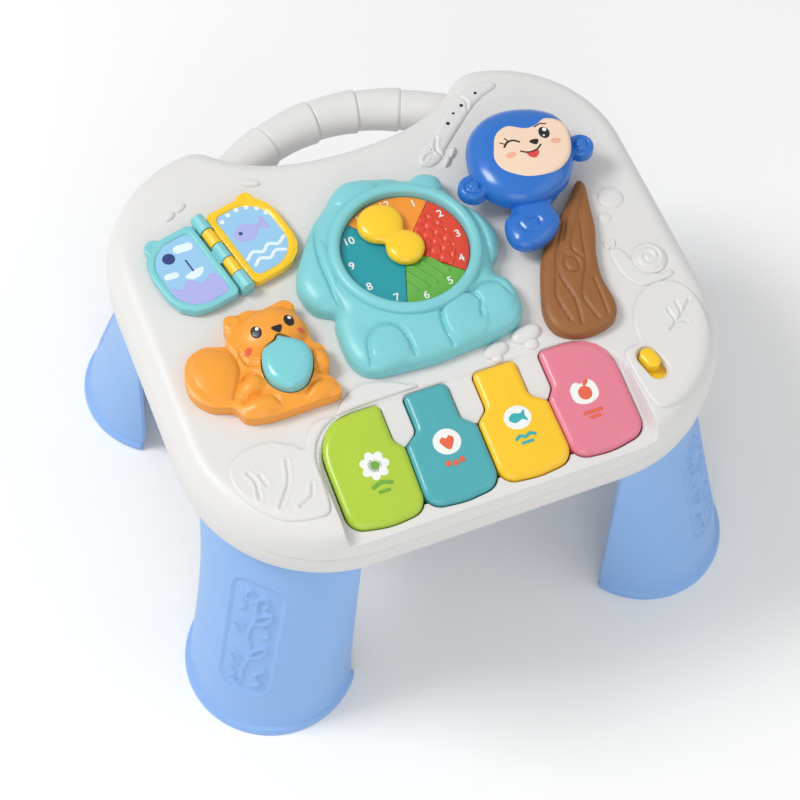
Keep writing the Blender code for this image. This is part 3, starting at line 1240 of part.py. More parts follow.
def tree_trunk():
    """Moulded trunk with a rounded top edge."""
    bm = bmesh.new()
    loop = counter_clockwise(flowing_loop(TRUNK_SHARES, TRUNK_X, TRUNK_Y, TRUNK_HALF_LENGTH))
    put_pillow(bm, loop, TOP_Z + GAP, TOP_Z + TRUNK_HEIGHT, TRUNK_EDGE, 0.5)
    trunk = part("tree_trunk", bm, BROWN, 0.5)
    bm = bmesh.new()
    for a, b in TRUNK_BOSS_SHARES:
        put_post(bm, TRUNK_X + TRUNK_HALF_LENGTH * a, TRUNK_Y + TRUNK_HALF_LENGTH * b, TOP_Z - OVERRUN,
                 TOP_Z + FIGURE_SCREW_BITE + GAP, FIGURE_SCREW_SHANK + GAP, 6)
    cut(trunk, "trunk_holes", bm)


def leaf_loop(side, grow=0.0):
    """Plan of a leaf in the book's frame: straight at the spine, round at the far side."""
    half = LEAF_HALF_HEIGHT - grow
    near = LEAF_START + grow
    far = LEAF_REACH - grow
    corners = ((near, -half, LEAF_CORNER), (far, -half, LEAF_ROUND), (far, half, LEAF_ROUND),
               (near, half, LEAF_CORNER))
    return [(side * across, along, radius) for across, along, radius in corners]


def in_book(corners):
    """Book-frame corners as a filleted loop on the tray."""
    return filleted_loop([(*spine_point(along, across, 0)[:2], radius) for across, along, radius in corners])


def book_leaf(name, side, colour, knuckles):
    """A leaf with a raised frame, a recessed page, an ear tab and its own knuckles."""
    top = SPINE_HEIGHT - LEAF_DROP
    base = top - LEAF_THICKNESS
    origin = spine_point(0, 0, SPINE_HEIGHT)
    bm = bmesh.new()
    put_prism(bm, in_book(leaf_loop(side)), TOP_Z + base, TOP_Z + top)
    leaf = part(name, bm, colour, 0.35, origin=origin)
    bm = bmesh.new()
    x, y, _ = spine_point(LEAF_HALF_HEIGHT - EAR_TAB / 2, side * (LEAF_REACH - LEAF_ROUND / 2), 0)
    put_post(bm, x, y, TOP_Z + base + GAP, TOP_Z + top - GAP, EAR_TAB, 12)
    add(leaf, name + "_tab", bm)
    bm = bmesh.new()
    put_prism(bm, in_book(leaf_loop(side, LEAF_FRAME)), TOP_Z + top - PAGE_RECESS, TOP_Z + top + OVERRUN)
    cut(leaf, name + "_page", bm)
    segment = 2 * SPINE_HALF_LENGTH / 5
    bm = bmesh.new()
    for place in knuckles:
        low = -SPINE_HALF_LENGTH + place * segment + 2 * GAP
        high = low + segment - 4 * GAP
        edge = side * (LEAF_START + LEAF_FRAME / 2)
        put_spine_box(bm, (min(0, edge), low, top - LEAF_WEB), (max(0, edge), high, top - GAP))
    add(leaf, name + "_webs", bm)
    bm = bmesh.new()
    for place in knuckles:
        low = -SPINE_HALF_LENGTH + place * segment + GAP
        high = low + segment - 2 * GAP
        put_rod(bm, spine_point(low, 0, SPINE_HEIGHT), spine_point(high, 0, SPINE_HEIGHT), BOOK_KNUCKLE)
    add(leaf, name + "_knuckles", bm)
    cut(leaf, name + "_bore", book_bore())


def put_spine_box(bm, low, high):
    """A box between two corners of the book's frame: across, along and above the tray."""
    base = Vector((SPINE_X, SPINE_Y, TOP_Z))
    put_box(bm, base + Vector(low), base + Vector(high), SPINE_TURN, (SPINE_X, SPINE_Y))


def book_bore():
    """The rod's hole along the spine."""
    bm = bmesh.new()
    reach = SPINE_HALF_LENGTH - WALL + GAP
    put_rod(bm, spine_point(-reach, 0, SPINE_HEIGHT), spine_point(reach, 0, SPINE_HEIGHT), BOOK_ROD_RADIUS + GAP, 8)
    return bm


def book():
    """Bracket with two end posts, the rod and the two leaves."""
    segment = 2 * SPINE_HALF_LENGTH / 5
    bm = bmesh.new()
    half = BRACKET_HALF_WIDTH
    corners = [(a * half, b * SPINE_HALF_LENGTH, half / 2) for a, b in ((-1, -1), (1, -1), (1, 1), (-1, 1))]
    put_prism(bm, in_book(corners), TOP_Z + GAP, TOP_Z + BRACKET_BASE)
    bracket = part("book_bracket", bm, TURQUOISE, 0.35)
    for index, side in enumerate((-1, 1)):
        ends = (side * SPINE_HALF_LENGTH, side * (SPINE_HALF_LENGTH - segment + GAP))
        post = half - GAP
        bm = bmesh.new()
        put_spine_box(bm, (-post, min(ends) + GAP, BRACKET_BASE / 2), (post, max(ends) - GAP, SPINE_HEIGHT))
        add(bracket, "bracket_post_%d" % index, bm)
        bm = bmesh.new()
        put_rod(bm, spine_point(ends[0], 0, SPINE_HEIGHT), spine_point(ends[1], 0, SPINE_HEIGHT), half)
        add(bracket, "bracket_round_%d" % index, bm)
    cut(bracket, "bracket_bore", book_bore())
    bm = bmesh.new()
    reach = SPINE_HALF_LENGTH - WALL
    put_rod(bm, spine_point(-reach, 0, SPINE_HEIGHT), spine_point(reach, 0, SPINE_HEIGHT), BOOK_ROD_RADIUS, 8)
    part("book_rod", bm, STEEL, 0.3, 1.0)
    book_leaf("leaf_left", -1, TURQUOISE, (2,))
    book_leaf("leaf_right", 1, YELLOW, (1, 3))


def slide_switch():
    """Yellow slider with a knob in the slot, over the electrical switch."""
    bm = bmesh.new()
    low = CEILING_Z - GAP - SLIDER_THICKNESS
    shift = SWITCH_TRAVEL / 2
    put_prism(bm, switch_loop(SLIDER_HALF_WIDTH, SLIDER_HALF_LENGTH, shift), low, CEILING_Z - GAP)
    knob = part("switch_knob", bm, YELLOW, 0.35, origin=(SWITCH_X, SWITCH_Y, CEILING_Z))
    bm = bmesh.new()
    put_pillow(bm, switch_loop(SLOT_HALF_WIDTH - RUN, KNOB_HALF_LENGTH, shift), low + SLIDER_THICKNESS / 2,
               TOP_Z + RELIEF + KNOB_RISE, KNOB_RISE / 2, 0.7)
    add(knob, "knob_cap", bm)
    width, length, height = SWITCH_BODY
    bm = bmesh.new()
    put_box(bm, (SWITCH_X - width / 2, SWITCH_Y - length / 2, low - GAP - height),
            (SWITCH_X + width / 2, SWITCH_Y + length / 2, low - GAP), SWITCH_TURN, (SWITCH_X, SWITCH_Y))
    part("switch_body", bm, STEEL, 0.35, 1.0)


def battery_bay():
    """Door flush with the underside, two cells with contacts, and the door's screw."""
    bm = bmesh.new()
    put_prism(bm, well_loop(-GAP), UNDER_Z, UNDER_Z + DOOR_THICKNESS)
    door = part("battery_door", bm, WHITE, 0.5)
    screw_x = WELL_X
    screw_y = WELL_Y
    bm = bmesh.new()
    put_post(bm, screw_x, screw_y, UNDER_Z - OVERRUN, UNDER_Z + OVERRUN + DOOR_THICKNESS, DOOR_SCREW_RADIUS + GAP, 8)
    cut(door, "door_hole", bm)
    bm = bmesh.new()
    put_post(bm, screw_x, screw_y, UNDER_Z - OVERRUN, UNDER_Z + DOOR_THICKNESS / 2, DOOR_SCREW_HEAD + GAP)
    cut(door, "door_countersink", bm)
    bm = bmesh.new()
    top = UNDER_Z + WELL_HEIGHT - GAP
    put_post(bm, screw_x, screw_y, UNDER_Z + GAP, UNDER_Z + DOOR_THICKNESS / 2 - GAP, DOOR_SCREW_HEAD)
    screw = part("door_screw", bm, STEEL, 0.3, 1.0)
    bm = bmesh.new()
    put_post(bm, screw_x, screw_y, UNDER_Z + DOOR_THICKNESS / 4, top, DOOR_SCREW_RADIUS / 1.2, 8)
    add(screw, "door_screw_shank", bm)
    cell_z = UNDER_Z + DOOR_THICKNESS + GAP + CELL_RADIUS
    reach = CELL_RADIUS + DOOR_SCREW_RADIUS
    for name, side in (("left", -1), ("right", 1)):
        y = WELL_Y + side * reach
        end = side * CELL_HALF_LENGTH
        bm = bmesh.new()
        put_rod(bm, (WELL_X - end, y, cell_z), (WELL_X + end, y, cell_z), CELL_RADIUS, 16)
        cell = part("battery_" + name, bm, DARK, 0.35)
        bm = bmesh.new()
        put_rod(bm, (WELL_X + end - side * NIPPLE_LENGTH, y, cell_z),
                (WELL_X + end + side * NIPPLE_LENGTH, y, cell_z), NIPPLE_RADIUS, 8)
        add(cell, "nipple_" + name, bm)
    bridge = (WELL_Y - reach - CONTACT_HALF, WELL_Y + reach + CONTACT_HALF)
    for name, face, low_y, high_y, sides in (
            ("bridge", 1, *bridge, (-1, 1)),
            ("minus", -1, bridge[0], bridge[0] + 2 * CONTACT_HALF, (-1,)),
            ("plus", -1, bridge[1] - 2 * CONTACT_HALF, bridge[1], (1,))):
        wall = WELL_X + face * (WELL_HALF_LENGTH - GAP)
        inner = wall - face * CONTACT_THICKNESS
        bm = bmesh.new()
        put_box(bm, (min(wall, inner), low_y, cell_z - CONTACT_HALF), (max(wall, inner), high_y, cell_z + CONTACT_HALF))
        plate = part("battery_contact_" + name, bm, STEEL, 0.3, 1.0)
        bm = bmesh.new()
        for side in sides:
            y = WELL_Y + side * reach
            nipple = NIPPLE_LENGTH if face == side else 0
            tip = WELL_X + face * (CELL_HALF_LENGTH + nipple + GAP)
            put_rod(bm, (wall - face * CONTACT_THICKNESS / 2, y, cell_z), (tip, y, cell_z), CONTACT_HALF * 0.8, 10,
                    CONTACT_HALF / 3)
        add(plate, "contact_domes_" + name, bm)


def speaker():
    """Speaker: flange, cone basket and magnet as one turned solid."""
    low = FLOOR_Z + GAP
    profile = ((MAGNET_RADIUS, low + SPEAKER_DEPTH), (MAGNET_RADIUS, low + MAGNET_HEIGHT),
               (SPEAKER_RADIUS, low + SPEAKER_FLANGE), (SPEAKER_RADIUS, low))
    mesh = bpy.data.meshes.new("speaker")
    points = [(0, 0, low + SPEAKER_DEPTH)] + [(radius, 0, height) for radius, height in profile] + [(0, 0, low)]
    mesh.from_pydata(points, [(index, index + 1) for index in range(len(points) - 1)], [])
    made = mesh_object("speaker", mesh, PARTS)
    made.data.materials.append(painted("speaker", DARK, 0.5))
    made.parent = ROOT
    made.location = (SPEAKER_X, SPEAKER_Y, 0)
    turned = made.modifiers.new("turned", "SCREW")
    turned.steps = 24
    turned.render_steps = 24
    turned.use_merge_vertices = True
    turned.merge_threshold = GAP / 10


def lead(name, route, colour):
    """A thin insulated lead along a smooth curve through its route's points."""
    points = np.array(route)
    padded = np.vstack((2 * points[0] - points[1], points, 2 * points[-1] - points[-2]))
    curve = bpy.data.curves.new(name, "CURVE")
    curve.dimensions = "3D"
    curve.bevel_depth = LEAD_RADIUS
    curve.bevel_resolution = 1
    curve.use_fill_caps = True
    spline = curve.splines.new("POLY")
    spline.points.add(LEAD_POINTS - 1)
    for point, place in zip(spline.points, np.linspace(0, len(points) - 1, LEAD_POINTS)):
        index = min(int(place), len(points) - 2)
        t = place - index
        before, here, after, later = padded[index:index + 4]
        spot = 0.5 * (2 * here + (after - before) * t + (2 * before - 5 * here + 4 * after - later) * t ** 2
                      + (3 * here - before - 3 * after + later) * t ** 3)
        point.co = (*spot, 1)
    part(name, tube_shape(curve), colour, 0.5)


def circuit_board():
    """Board under the keys with a tab below the nut, and two chips."""
    low = BOARD_TOP_Z - BOARD_THICKNESS
    corners = ((-BOARD_HALF_WIDTH, BOARD_FRONT_Y, 0), (BOARD_HALF_WIDTH, BOARD_FRONT_Y, 0),
               (BOARD_HALF_WIDTH, BOARD_BACK_Y, 0), (TAB_RIGHT_X, BOARD_BACK_Y, 0),
               (TAB_RIGHT_X, TAB_BACK_Y, 0), (TAB_LEFT_X, TAB_BACK_Y, 0), (TAB_LEFT_X, BOARD_BACK_Y, 0),
               (-BOARD_HALF_WIDTH, BOARD_BACK_Y - WALL, 0))
    bm = bmesh.new()
    put_prism(bm, filleted_loop(corners), low, BOARD_TOP_Z)
    board = part("circuit_board", bm, BOARD_GREEN, 0.5)
    bm = bmesh.new()
    width, length, height = CHIP_SIZE
    for x, y in (CHIP_PLACE, SOUND_CHIP_PLACE):
        put_box(bm, (x - width / 2, y - length / 2, low + BOARD_THICKNESS / 2),
                (x + width / 2, y + length / 2, BOARD_TOP_Z + height))
    add(board, "chips", bm)


def put_screw(name, x, y, head, neck, tip, radii, sides):
    """An upright screw from its head's outer face to its tip."""
    head_radius, shank_radius = radii
    bm = bmesh.new()
    put_post(bm, x, y, head, neck, head_radius, sides)
    screw = part(name, bm, STEEL, 0.3, 1.0, (x, y, head))
    bm = bmesh.new()
    put_post(bm, x, y, (head + neck) / 2, tip, shank_radius, 6)
    add(screw, name + "_shank", bm)


def fasteners():
    """Casing screws from below and figure screws from inside the tray."""
    for index, (x, y) in enumerate(SCREW_PLACES):
        put_screw("case_screw_%d" % (index + 1), x, y, UNDER_Z + GAP, UNDER_Z + SCREW_HEAD_HEIGHT,
                  SPLIT_Z + SCREW_BITE, (SCREW_HEAD, SCREW_SHANK), 8)
    head = CEILING_Z - GAP - FIGURE_SCREW_HEAD_HEIGHT
    for index, (x, y) in enumerate(figure_screws_at()):
        put_screw("figure_screw_%d" % (index + 1), x, y, head, CEILING_Z - GAP, TOP_Z + FIGURE_SCREW_BITE,
                  (FIGURE_SCREW_HEAD, FIGURE_SCREW_SHANK), 8)


def key_parts():
    """Hinge rod, four keys and their springs."""
    bm = bmesh.new()
    put_rod(bm, (-ROD_HALF_LENGTH, ROD_Y, ROD_Z), (ROD_HALF_LENGTH, ROD_Y, ROD_Z), ROD_RADIUS, 8)
    part("key_rod", bm, STEEL, 0.3, 1.0)
    for colour_name, side, outer, colour in KEYS:
        piano_key(colour_name, side, outer, colour)
        coil("key_spring_" + colour_name, key_arm_x(side, outer), KEY_SPRING_Y, BOARD_TOP_Z, key_stud_z())


def stand_on_origin():
    """Moves the whole so that the middle of its footprint is the origin."""
    bpy.context.view_layer.update()
    depsgraph = bpy.context.evaluated_depsgraph_get()
    reach = [made.matrix_world @ Vector(corner) for made in PARTS.objects if made.type == "MESH"
             for corner in made.evaluated_get(depsgraph).bound_box]
    for axis in (0, 1):
        places = [point[axis] for point in reach]
        ROOT.location[axis] = -(min(places) + max(places)) / 2
    bpy.context.view_layer.update()


handle_space = carry_handle()
top_casing(handle_space)
bottom_casing(handle_space)
for leg_name, corner in LEGS.items():
    leg_panel(leg(leg_name, corner), corner)
elephant()
dial_inserts()
clock_pointer()
squirrel()
nut()
monkey()
tree_trunk()
key_parts()
book()
slide_switch()
circuit_board()
battery_bay()
speaker()
lead("lead_wire_speaker", SPEAKER_LEAD, WIRE_RED)
lead("lead_wire_battery", BATTERY_LEAD, DARK)
fasteners()
stand_on_origin()
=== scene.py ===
"""Musical activity table: a white tray of keys, figures and a clock on four pale blue legs."""
import math

import bpy
import numpy as np
from mathutils import Matrix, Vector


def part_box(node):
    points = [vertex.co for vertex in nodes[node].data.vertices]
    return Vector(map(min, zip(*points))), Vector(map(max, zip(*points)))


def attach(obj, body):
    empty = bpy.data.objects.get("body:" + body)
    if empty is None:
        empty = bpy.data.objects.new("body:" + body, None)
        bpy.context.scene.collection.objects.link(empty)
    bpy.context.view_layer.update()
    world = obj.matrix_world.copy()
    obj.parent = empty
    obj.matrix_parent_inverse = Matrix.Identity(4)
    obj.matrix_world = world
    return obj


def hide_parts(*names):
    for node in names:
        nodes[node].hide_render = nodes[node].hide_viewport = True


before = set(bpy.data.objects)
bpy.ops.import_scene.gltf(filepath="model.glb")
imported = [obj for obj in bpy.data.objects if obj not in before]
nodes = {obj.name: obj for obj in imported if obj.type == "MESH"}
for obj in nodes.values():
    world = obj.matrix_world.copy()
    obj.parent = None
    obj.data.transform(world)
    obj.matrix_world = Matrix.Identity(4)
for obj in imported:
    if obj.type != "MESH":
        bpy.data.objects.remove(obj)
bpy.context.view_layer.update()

# Tray top: one warm white injection moulding with a rounded shoulder, a sloping deck for the keys
# and openings for what moves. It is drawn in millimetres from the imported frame's middle, and the
# clip below the clock gives how far back the frame stands.
MM = 0.001
TOP = 161.0
SPLIT = 142.0
DIAL_Y = 10
PROUD = 0.15
GAP = 0.7
clip_low, clip_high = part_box("pointer_clip")
SHIFT = (clip_low.y + clip_high.y) / 2 / MM - DIAL_Y


def flowing(points, steps=8):
    """Closed Catmull-Rom curve through the points, turned counter-clockwise."""
    here = np.array(points, float)
    ahead = np.roll(here, -1, 0)
    if (here[:, 0] * ahead[:, 1] - ahead[:, 0] * here[:, 1]).sum() < 0:
        here = here[::-1]
    back, after, later = np.roll(here, 1, 0), np.roll(here, -1, 0), np.roll(here, -2, 0)
    t = np.arange(steps)[:, None, None] / steps
    curve = 0.5 * (2 * here + (after - back) * t + (2 * back - 5 * here + 4 * after - later) * t ** 2
                   + (3 * here - back - 3 * after + later) * t ** 3)
    return curve.transpose(1, 0, 2).reshape(-1, 2)


def rounded(corners, steps=7):
    """Closed outline of straight runs whose corners (x, y, radius) are arcs, swept between their ends."""
    p = np.array(corners, float)
    here, back, ahead = p[:, :2], np.roll(p[:, :2], 1, 0), np.roll(p[:, :2], -1, 0)
    to_back = np.linalg.norm(back - here, axis=1)
    to_ahead = np.linalg.norm(ahead - here, axis=1)
    u, v = (back - here) / to_back[:, None], (ahead - here) / to_ahead[:, None]
    half = np.arccos(np.clip((u * v).sum(1), -1, 1)) / 2
    reach = np.minimum(p[:, 2] / np.tan(half), 0.6 * np.minimum(to_back, to_ahead))
    middle = here + (u + v) / np.linalg.norm(u + v, axis=1)[:, None] * (reach / np.cos(half))[:, None]
    start, end = here + u * reach[:, None] - middle, here + v * reach[:, None] - middle
    sweep = (np.pi - 2 * half)[:, None]
    t = np.linspace(0, 1, steps)[:, None, None]
    curve = middle + (np.sin((1 - t) * sweep) * start + np.sin(t * sweep) * end) / np.sin(sweep)
    return flowing(curve.transpose(1, 0, 2).reshape(-1, 2), 1)


def nearness(x, y, path, closed=False):
    """Distance from each point to the nearest straight run of a path."""
    start = path if closed else path[:-1]
    run = (np.roll(path, -1, 0) if closed else path[1:]) - start
    length = (run ** 2).sum(1) + 1e-9
    spot = np.stack((np.ravel(x), np.ravel(y)), 1)
    best = np.full(len(spot), 1e9)
    for first in range(0, len(start), 32):
        part = slice(first, first + 32)
        away = spot[:, None] - start[None, part]
        share = np.clip((away * run[part]).sum(2) / length[part], 0, 1)
        best = np.minimum(best, ((away - share[..., None] * run[part]) ** 2).sum(2).min(1))
    return np.sqrt(best).reshape(np.shape(x))


def within(x, y, loop):
    """Signed distance to a closed outline, positive inside it by the crossing rule."""
    px, py = np.ravel(x)[:, None], np.ravel(y)[:, None]
    x0, y0 = loop.T
    x1, y1 = np.roll(loop, -1, 0).T
    rise = np.where(y1 == y0, 1e-9, y1 - y0)
    crossed = ((y0 <= py) != (y1 <= py)) & (px < x0 + (py - y0) * (x1 - x0) / rise)
    odd = (crossed.sum(1) % 2).reshape(np.shape(x))
    return nearness(x, y, loop, True) * np.where(odd, 1, -1)


def eased(value, low, high):
    """Smooth step from 0 at low to 1 at high."""
    t = np.clip((value - low) / (high - low), 0, 1)
    return t * t * (3 - 2 * t)


def quarter(depth, edge, rise):
    """Quarter-round edge: the rise is reached once the depth is past the edge's width."""
    return rise * np.sqrt(np.clip(1 - (1 - np.clip(depth / edge, 0, 1)) ** 2, 0, 1))


def slope(inside, x, y, reach=0.05):
    """Value and unit gradient of a distance by central differences."""
    gx = inside(x + reach, y) - inside(x - reach, y)
    gy = inside(x, y + reach) - inside(x, y - reach)
    size = np.hypot(gx, gy) + 1e-9
    return inside(x, y), gx / size, gy / size


def pressed(bounds, step, inside, top, reach, foot, closed=True):
    """Moulded shape over a grid: cells inside the outline are kept, their border is drawn onto the line
    that lies reach within it, all is raised to top(x, y), and the border runs out over the edge and
    down to the foot. A flat underside closes it."""
    x_low, x_high, y_low, y_high = bounds
    x, y = np.meshgrid(np.arange(x_low, x_high + step, step), np.arange(y_low, y_high + step, step),
        indexing="ij")
    distance = inside(x, y) - reach(x, y)
    keep = (distance[:-1, :-1] + distance[1:, :-1] + distance[1:, 1:] + distance[:-1, 1:]) > 0
    ids = np.arange(x.size).reshape(x.shape)
    quads = np.stack((ids[:-1, :-1], ids[1:, :-1], ids[1:, 1:], ids[:-1, 1:]), -1)[keep]
    around = np.zeros(x.shape, int)
    for i, j in ((0, 0), (1, 0), (1, 1), (0, 1)):
        around[i:x.shape[0] - 1 + i, j:x.shape[1] - 1 + j] += keep
    border = (around > 0) & (around < 4)
    bx, by = x[border], y[border]
    for _ in range(3):
        d, gx, gy = slope(inside, bx, by)
        d = d - reach(bx, by)
        bx, by = bx - d * gx, by - d * gy
    x[border], y[border] = bx, by
    used = around > 0
    number = np.cumsum(used.ravel()) - 1
    quads = number[quads]
    px, py = x[used], y[used]
    points = [np.stack((px, py, top(px, py)), 1)]
    total = len(px)
    starts, ends = quads.ravel(), np.roll(quads, -1, axis=1).ravel()
    rim = ~np.isin(starts * total + ends, ends * total + starts)
    a, b = starts[rim], ends[rim]
    ring = np.unique(a)
    place = np.zeros(total, int)
    place[ring] = np.arange(len(ring))
    rx, ry = px[ring], py[ring]
    _, gx, gy = slope(inside, rx, ry)
    out = reach(rx, ry)
    faces, before, count = [quads], ring, total
    for share in (0.35, 0.65, 0.86, 0.97, 1.0, 1.0):
        qx, qy = rx - gx * out * share, ry - gy * out * share
        last = len(faces) == 6
        points.append(np.stack((qx, qy, foot(qx, qy) if last else top(qx, qy)), 1))
        after = count + np.arange(len(ring))
        faces.append(np.stack((before[place[b]], before[place[a]], after[place[a]], after[place[b]]), 1))
        before, count = after, count + len(ring)
    if closed:
        base = points[0].copy()
        base[:, 2] = foot(px, py)
        match = np.arange(count, count + total)
        match[ring] = before
        inner = np.setdiff1d(np.arange(total), ring)
        match[inner] = count + np.arange(len(inner))
        points.append(base[inner])
        faces.append(match[quads[:, ::-1]])
    return np.vstack(points), np.vstack(faces).tolist()


def piece(name, shape, material, body, *stands_for, sharp=40, slot):
    """A smooth-shaded piece in the frame's metres: points times the unit, moved back by the shift."""
    points, faces = shape
    mesh = bpy.data.meshes.new(name)
    mesh.from_pydata((points * MM + (0, SHIFT * MM, 0)).tolist(), [], faces)
    mesh.polygons.foreach_set("use_smooth", np.ones(len(mesh.polygons), bool))
    mesh.set_sharp_from_angle(angle=math.radians(sharp))
    mesh.materials.append(material)
    made = bpy.data.objects.new(name, mesh)
    bpy.context.scene.collection.objects.link(made)
    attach(made, body)
    if stands_for:
        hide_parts(*stands_for)


def skin_group():
    """Moulded plastic skin: slow shade drift, fine roughness drift and a faint satin grain."""
    group = bpy.data.node_groups.new("moulded_skin", "ShaderNodeTree")
    for name, kind in (("Colour", "NodeSocketColor"), ("Drift", "NodeSocketFloat"),
                       ("Roughness", "NodeSocketFloat"), ("Grain", "NodeSocketFloat")):
        group.interface.new_socket(name, in_out="INPUT", socket_type=kind)
    for name, kind in (("Colour", "NodeSocketColor"), ("Roughness", "NodeSocketFloat"),
                       ("Normal", "NodeSocketVector")):
        group.interface.new_socket(name, in_out="OUTPUT", socket_type=kind)
    new, link = group.nodes.new, group.links.new
    given, result, place = new("NodeGroupInput"), new("NodeGroupOutput"), new("ShaderNodeTexCoord")
    noises = []
    for scale, detail in ((22, 3), (140, 4), (1500, 2)):
        noise = new("ShaderNodeTexNoise")
        noise.inputs["Scale"].default_value = scale
        noise.inputs["Detail"].default_value = detail
        link(place.outputs["Object"], noise.inputs["Vector"])
        noises.append(noise)
    sums = []
    for noise, source, base in ((noises[0], "Drift", 1.0), (noises[1], None, None)):
        centred = new("ShaderNodeMath")
        centred.operation = "SUBTRACT"
        centred.inputs[1].default_value = 0.5
        link(noise.outputs["Fac"], centred.inputs[0])
        scaled = new("ShaderNodeMath")
        scaled.operation = "MULTIPLY_ADD"
        link(centred.outputs[0], scaled.inputs[0])
        if source:
            link(given.outputs[source], scaled.inputs[1])
            scaled.inputs[2].default_value = base
        else:
            scaled.inputs[1].default_value = 0.16
            link(given.outputs["Roughness"], scaled.inputs[2])
        sums.append(scaled)
    shade = new("ShaderNodeHueSaturation")
    link(given.outputs["Colour"], shade.inputs["Color"])
    link(sums[0].outputs[0], shade.inputs["Value"])
    bump = new("ShaderNodeBump")
    bump.inputs["Distance"].default_value = 0.00006
    link(noises[2].outputs["Fac"], bump.inputs["Height"])
    link(given.outputs["Grain"], bump.inputs["Strength"])
    link(shade.outputs["Color"], result.inputs["Colour"])
    link(sums[1].outputs[0], result.inputs["Roughness"])
    link(bump.outputs["Normal"], result.inputs["Normal"])
    return group


SKIN = skin_group()


def plastic(name, colour, roughness=0.36, drift=0.10, grain=0.35, coat=0.0):
    """Satin or glossy moulded plastic of one colour."""
    material = bpy.data.materials.new(name)
    material.use_nodes = True
    tree = material.node_tree
    shader = tree.nodes["Principled BSDF"]
    shader.inputs["IOR"].default_value = 1.48
    shader.inputs["Coat Weight"].default_value = coat
    shader.inputs["Coat Roughness"].default_value = 0.12
    skin = tree.nodes.new("ShaderNodeGroup")
    skin.node_tree = SKIN
    for socket, value in (("Colour", (*colour, 1)), ("Drift", drift), ("Roughness", roughness),
            ("Grain", grain)):
        skin.inputs[socket].default_value = value
    for source, target in (("Colour", "Base Color"), ("Roughness", "Roughness"), ("Normal", "Normal")):
        tree.links.new(skin.outputs[source], shader.inputs[target])
    return material


BACK_ARC = (65, 45, 61)
FRONT_ARC = (59, -43, 67)
FRONT_Y = -110
SMALL_RADIUS = 16
BACK_TURN = 82
HOLLOW_TURN = 132
HOLLOW_Y = 82
LEAVE_PULL = 60
HOLLOW_PULL = 90


def arc(cx, cy, radius, start, end, count):
    """Points on a circle between two angles in degrees."""
    angle = np.radians(np.linspace(start, end, count))
    return np.stack((cx + radius * np.cos(angle), cy + radius * np.sin(angle)), 1)


def tray_outline():
    """Front and back corner arcs, a small arc turning on from the back one, and a Hermite run from
    its end to the middle of the hollow, mirrored."""
    back = arc(*BACK_ARC, 0, BACK_TURN, 30)
    turn, leave_turn = np.radians(BACK_TURN), np.radians(HOLLOW_TURN)
    middle = back[-1] - SMALL_RADIUS * np.array((np.cos(turn), np.sin(turn)))
    small = arc(*middle, SMALL_RADIUS, BACK_TURN, HOLLOW_TURN, 12)
    t = np.linspace(0, 1, 30)[:, None]
    leave = LEAVE_PULL * np.array((-np.sin(leave_turn), np.cos(leave_turn)))
    hollow = ((2 * t ** 3 - 3 * t ** 2 + 1) * small[-1] + (t ** 3 - 2 * t ** 2 + t) * leave
              + (3 * t ** 2 - 2 * t ** 3) * (0, HOLLOW_Y) + (t ** 3 - t ** 2) * (-HOLLOW_PULL, 0))
    half = np.vstack(((0, FRONT_Y), arc(*FRONT_ARC, -90, 0, 36), back, small[1:], hollow[1:]))
    return np.vstack((half, (half * (-1, 1))[-2:0:-1]))


OUTLINE = tray_outline()
KEY_PITCH, KEY_BACK, KEY_LENGTH = 34.3, -53.7, 50.5
OUTER_KEY = ((1.1, 0, 2.2), (1.1, 0.335, 5), (0.985, 0.435, 2.2), (1.006, 0.985, 7.5),
             (1.5, 1.02, 40), (2.0, 0.955, 7.5), (2.0, 0, 23))
INNER_KEY = ((0.184, 0, 2.2), (0.184, 0.335, 5), (0.014, 0.435, 2.2), (0.014, 0.985, 7.5),
             (0.5, 1.02, 40), (0.986, 0.985, 7.5), (0.966, 0.435, 2.2), (0.76, 0.335, 5), (0.76, 0, 2.2))


def key_outline(side, corners):
    """Plan of a key: shares of the pitch across and of the length along, with corner radii."""
    return rounded([(side * KEY_PITCH * x, KEY_BACK - KEY_LENGTH * y, r) for x, y, r in corners])


KEYS = {"green": key_outline(-1, OUTER_KEY), "teal": key_outline(-1, INNER_KEY),
        "yellow": key_outline(1, INNER_KEY), "pink": key_outline(1, OUTER_KEY)}
SWITCH = np.array((82.6, -76.5))
switch_turn = math.radians(14)


def switch_oval(half_width, half_length, shift=0.0):
    """Rounded oblong along the switch's travel."""
    a = np.array(((-1, -1), (1, -1), (1, 1), (-1, 1))) * (half_width, half_length) + (0, shift)
    x = SWITCH[0] + a[:, 0] * math.cos(switch_turn) - a[:, 1] * math.sin(switch_turn)
    y = SWITCH[1] + a[:, 0] * math.sin(switch_turn) + a[:, 1] * math.cos(switch_turn)
    return rounded(np.stack((x, y, np.full(4, half_width)), 1))


OPENINGS = [*KEYS.values(), switch_oval(3.4, 7.4)]


def in_tray(x, y):
    """Distance inside the tray's outline and outside its openings."""
    d = within(x, y, OUTLINE) + PROUD
    for hole in OPENINGS:
        d = np.minimum(d, -within(x, y, hole) - GAP)
    return d


def tray_reach(x, y):
    """Border width: wide at the rounded shoulder, narrow at the keys' sill and an opening's lip."""
    wide = np.maximum(eased(np.abs(x), 74, 84), eased(y, -104, -98))
    return np.where(within(x, y, OUTLINE) < 5, 0.45 + 1.95 * wide, 0.5)


DECK_BACK = -52.5
DECK_BACK_LEVEL = TOP - 0.8
DECK_FALL = 9.5 / 57.5


def deck_level(y):
    """Height of the key deck, sloping down towards the front."""
    return DECK_BACK_LEVEL - DECK_FALL * (DECK_BACK - y)


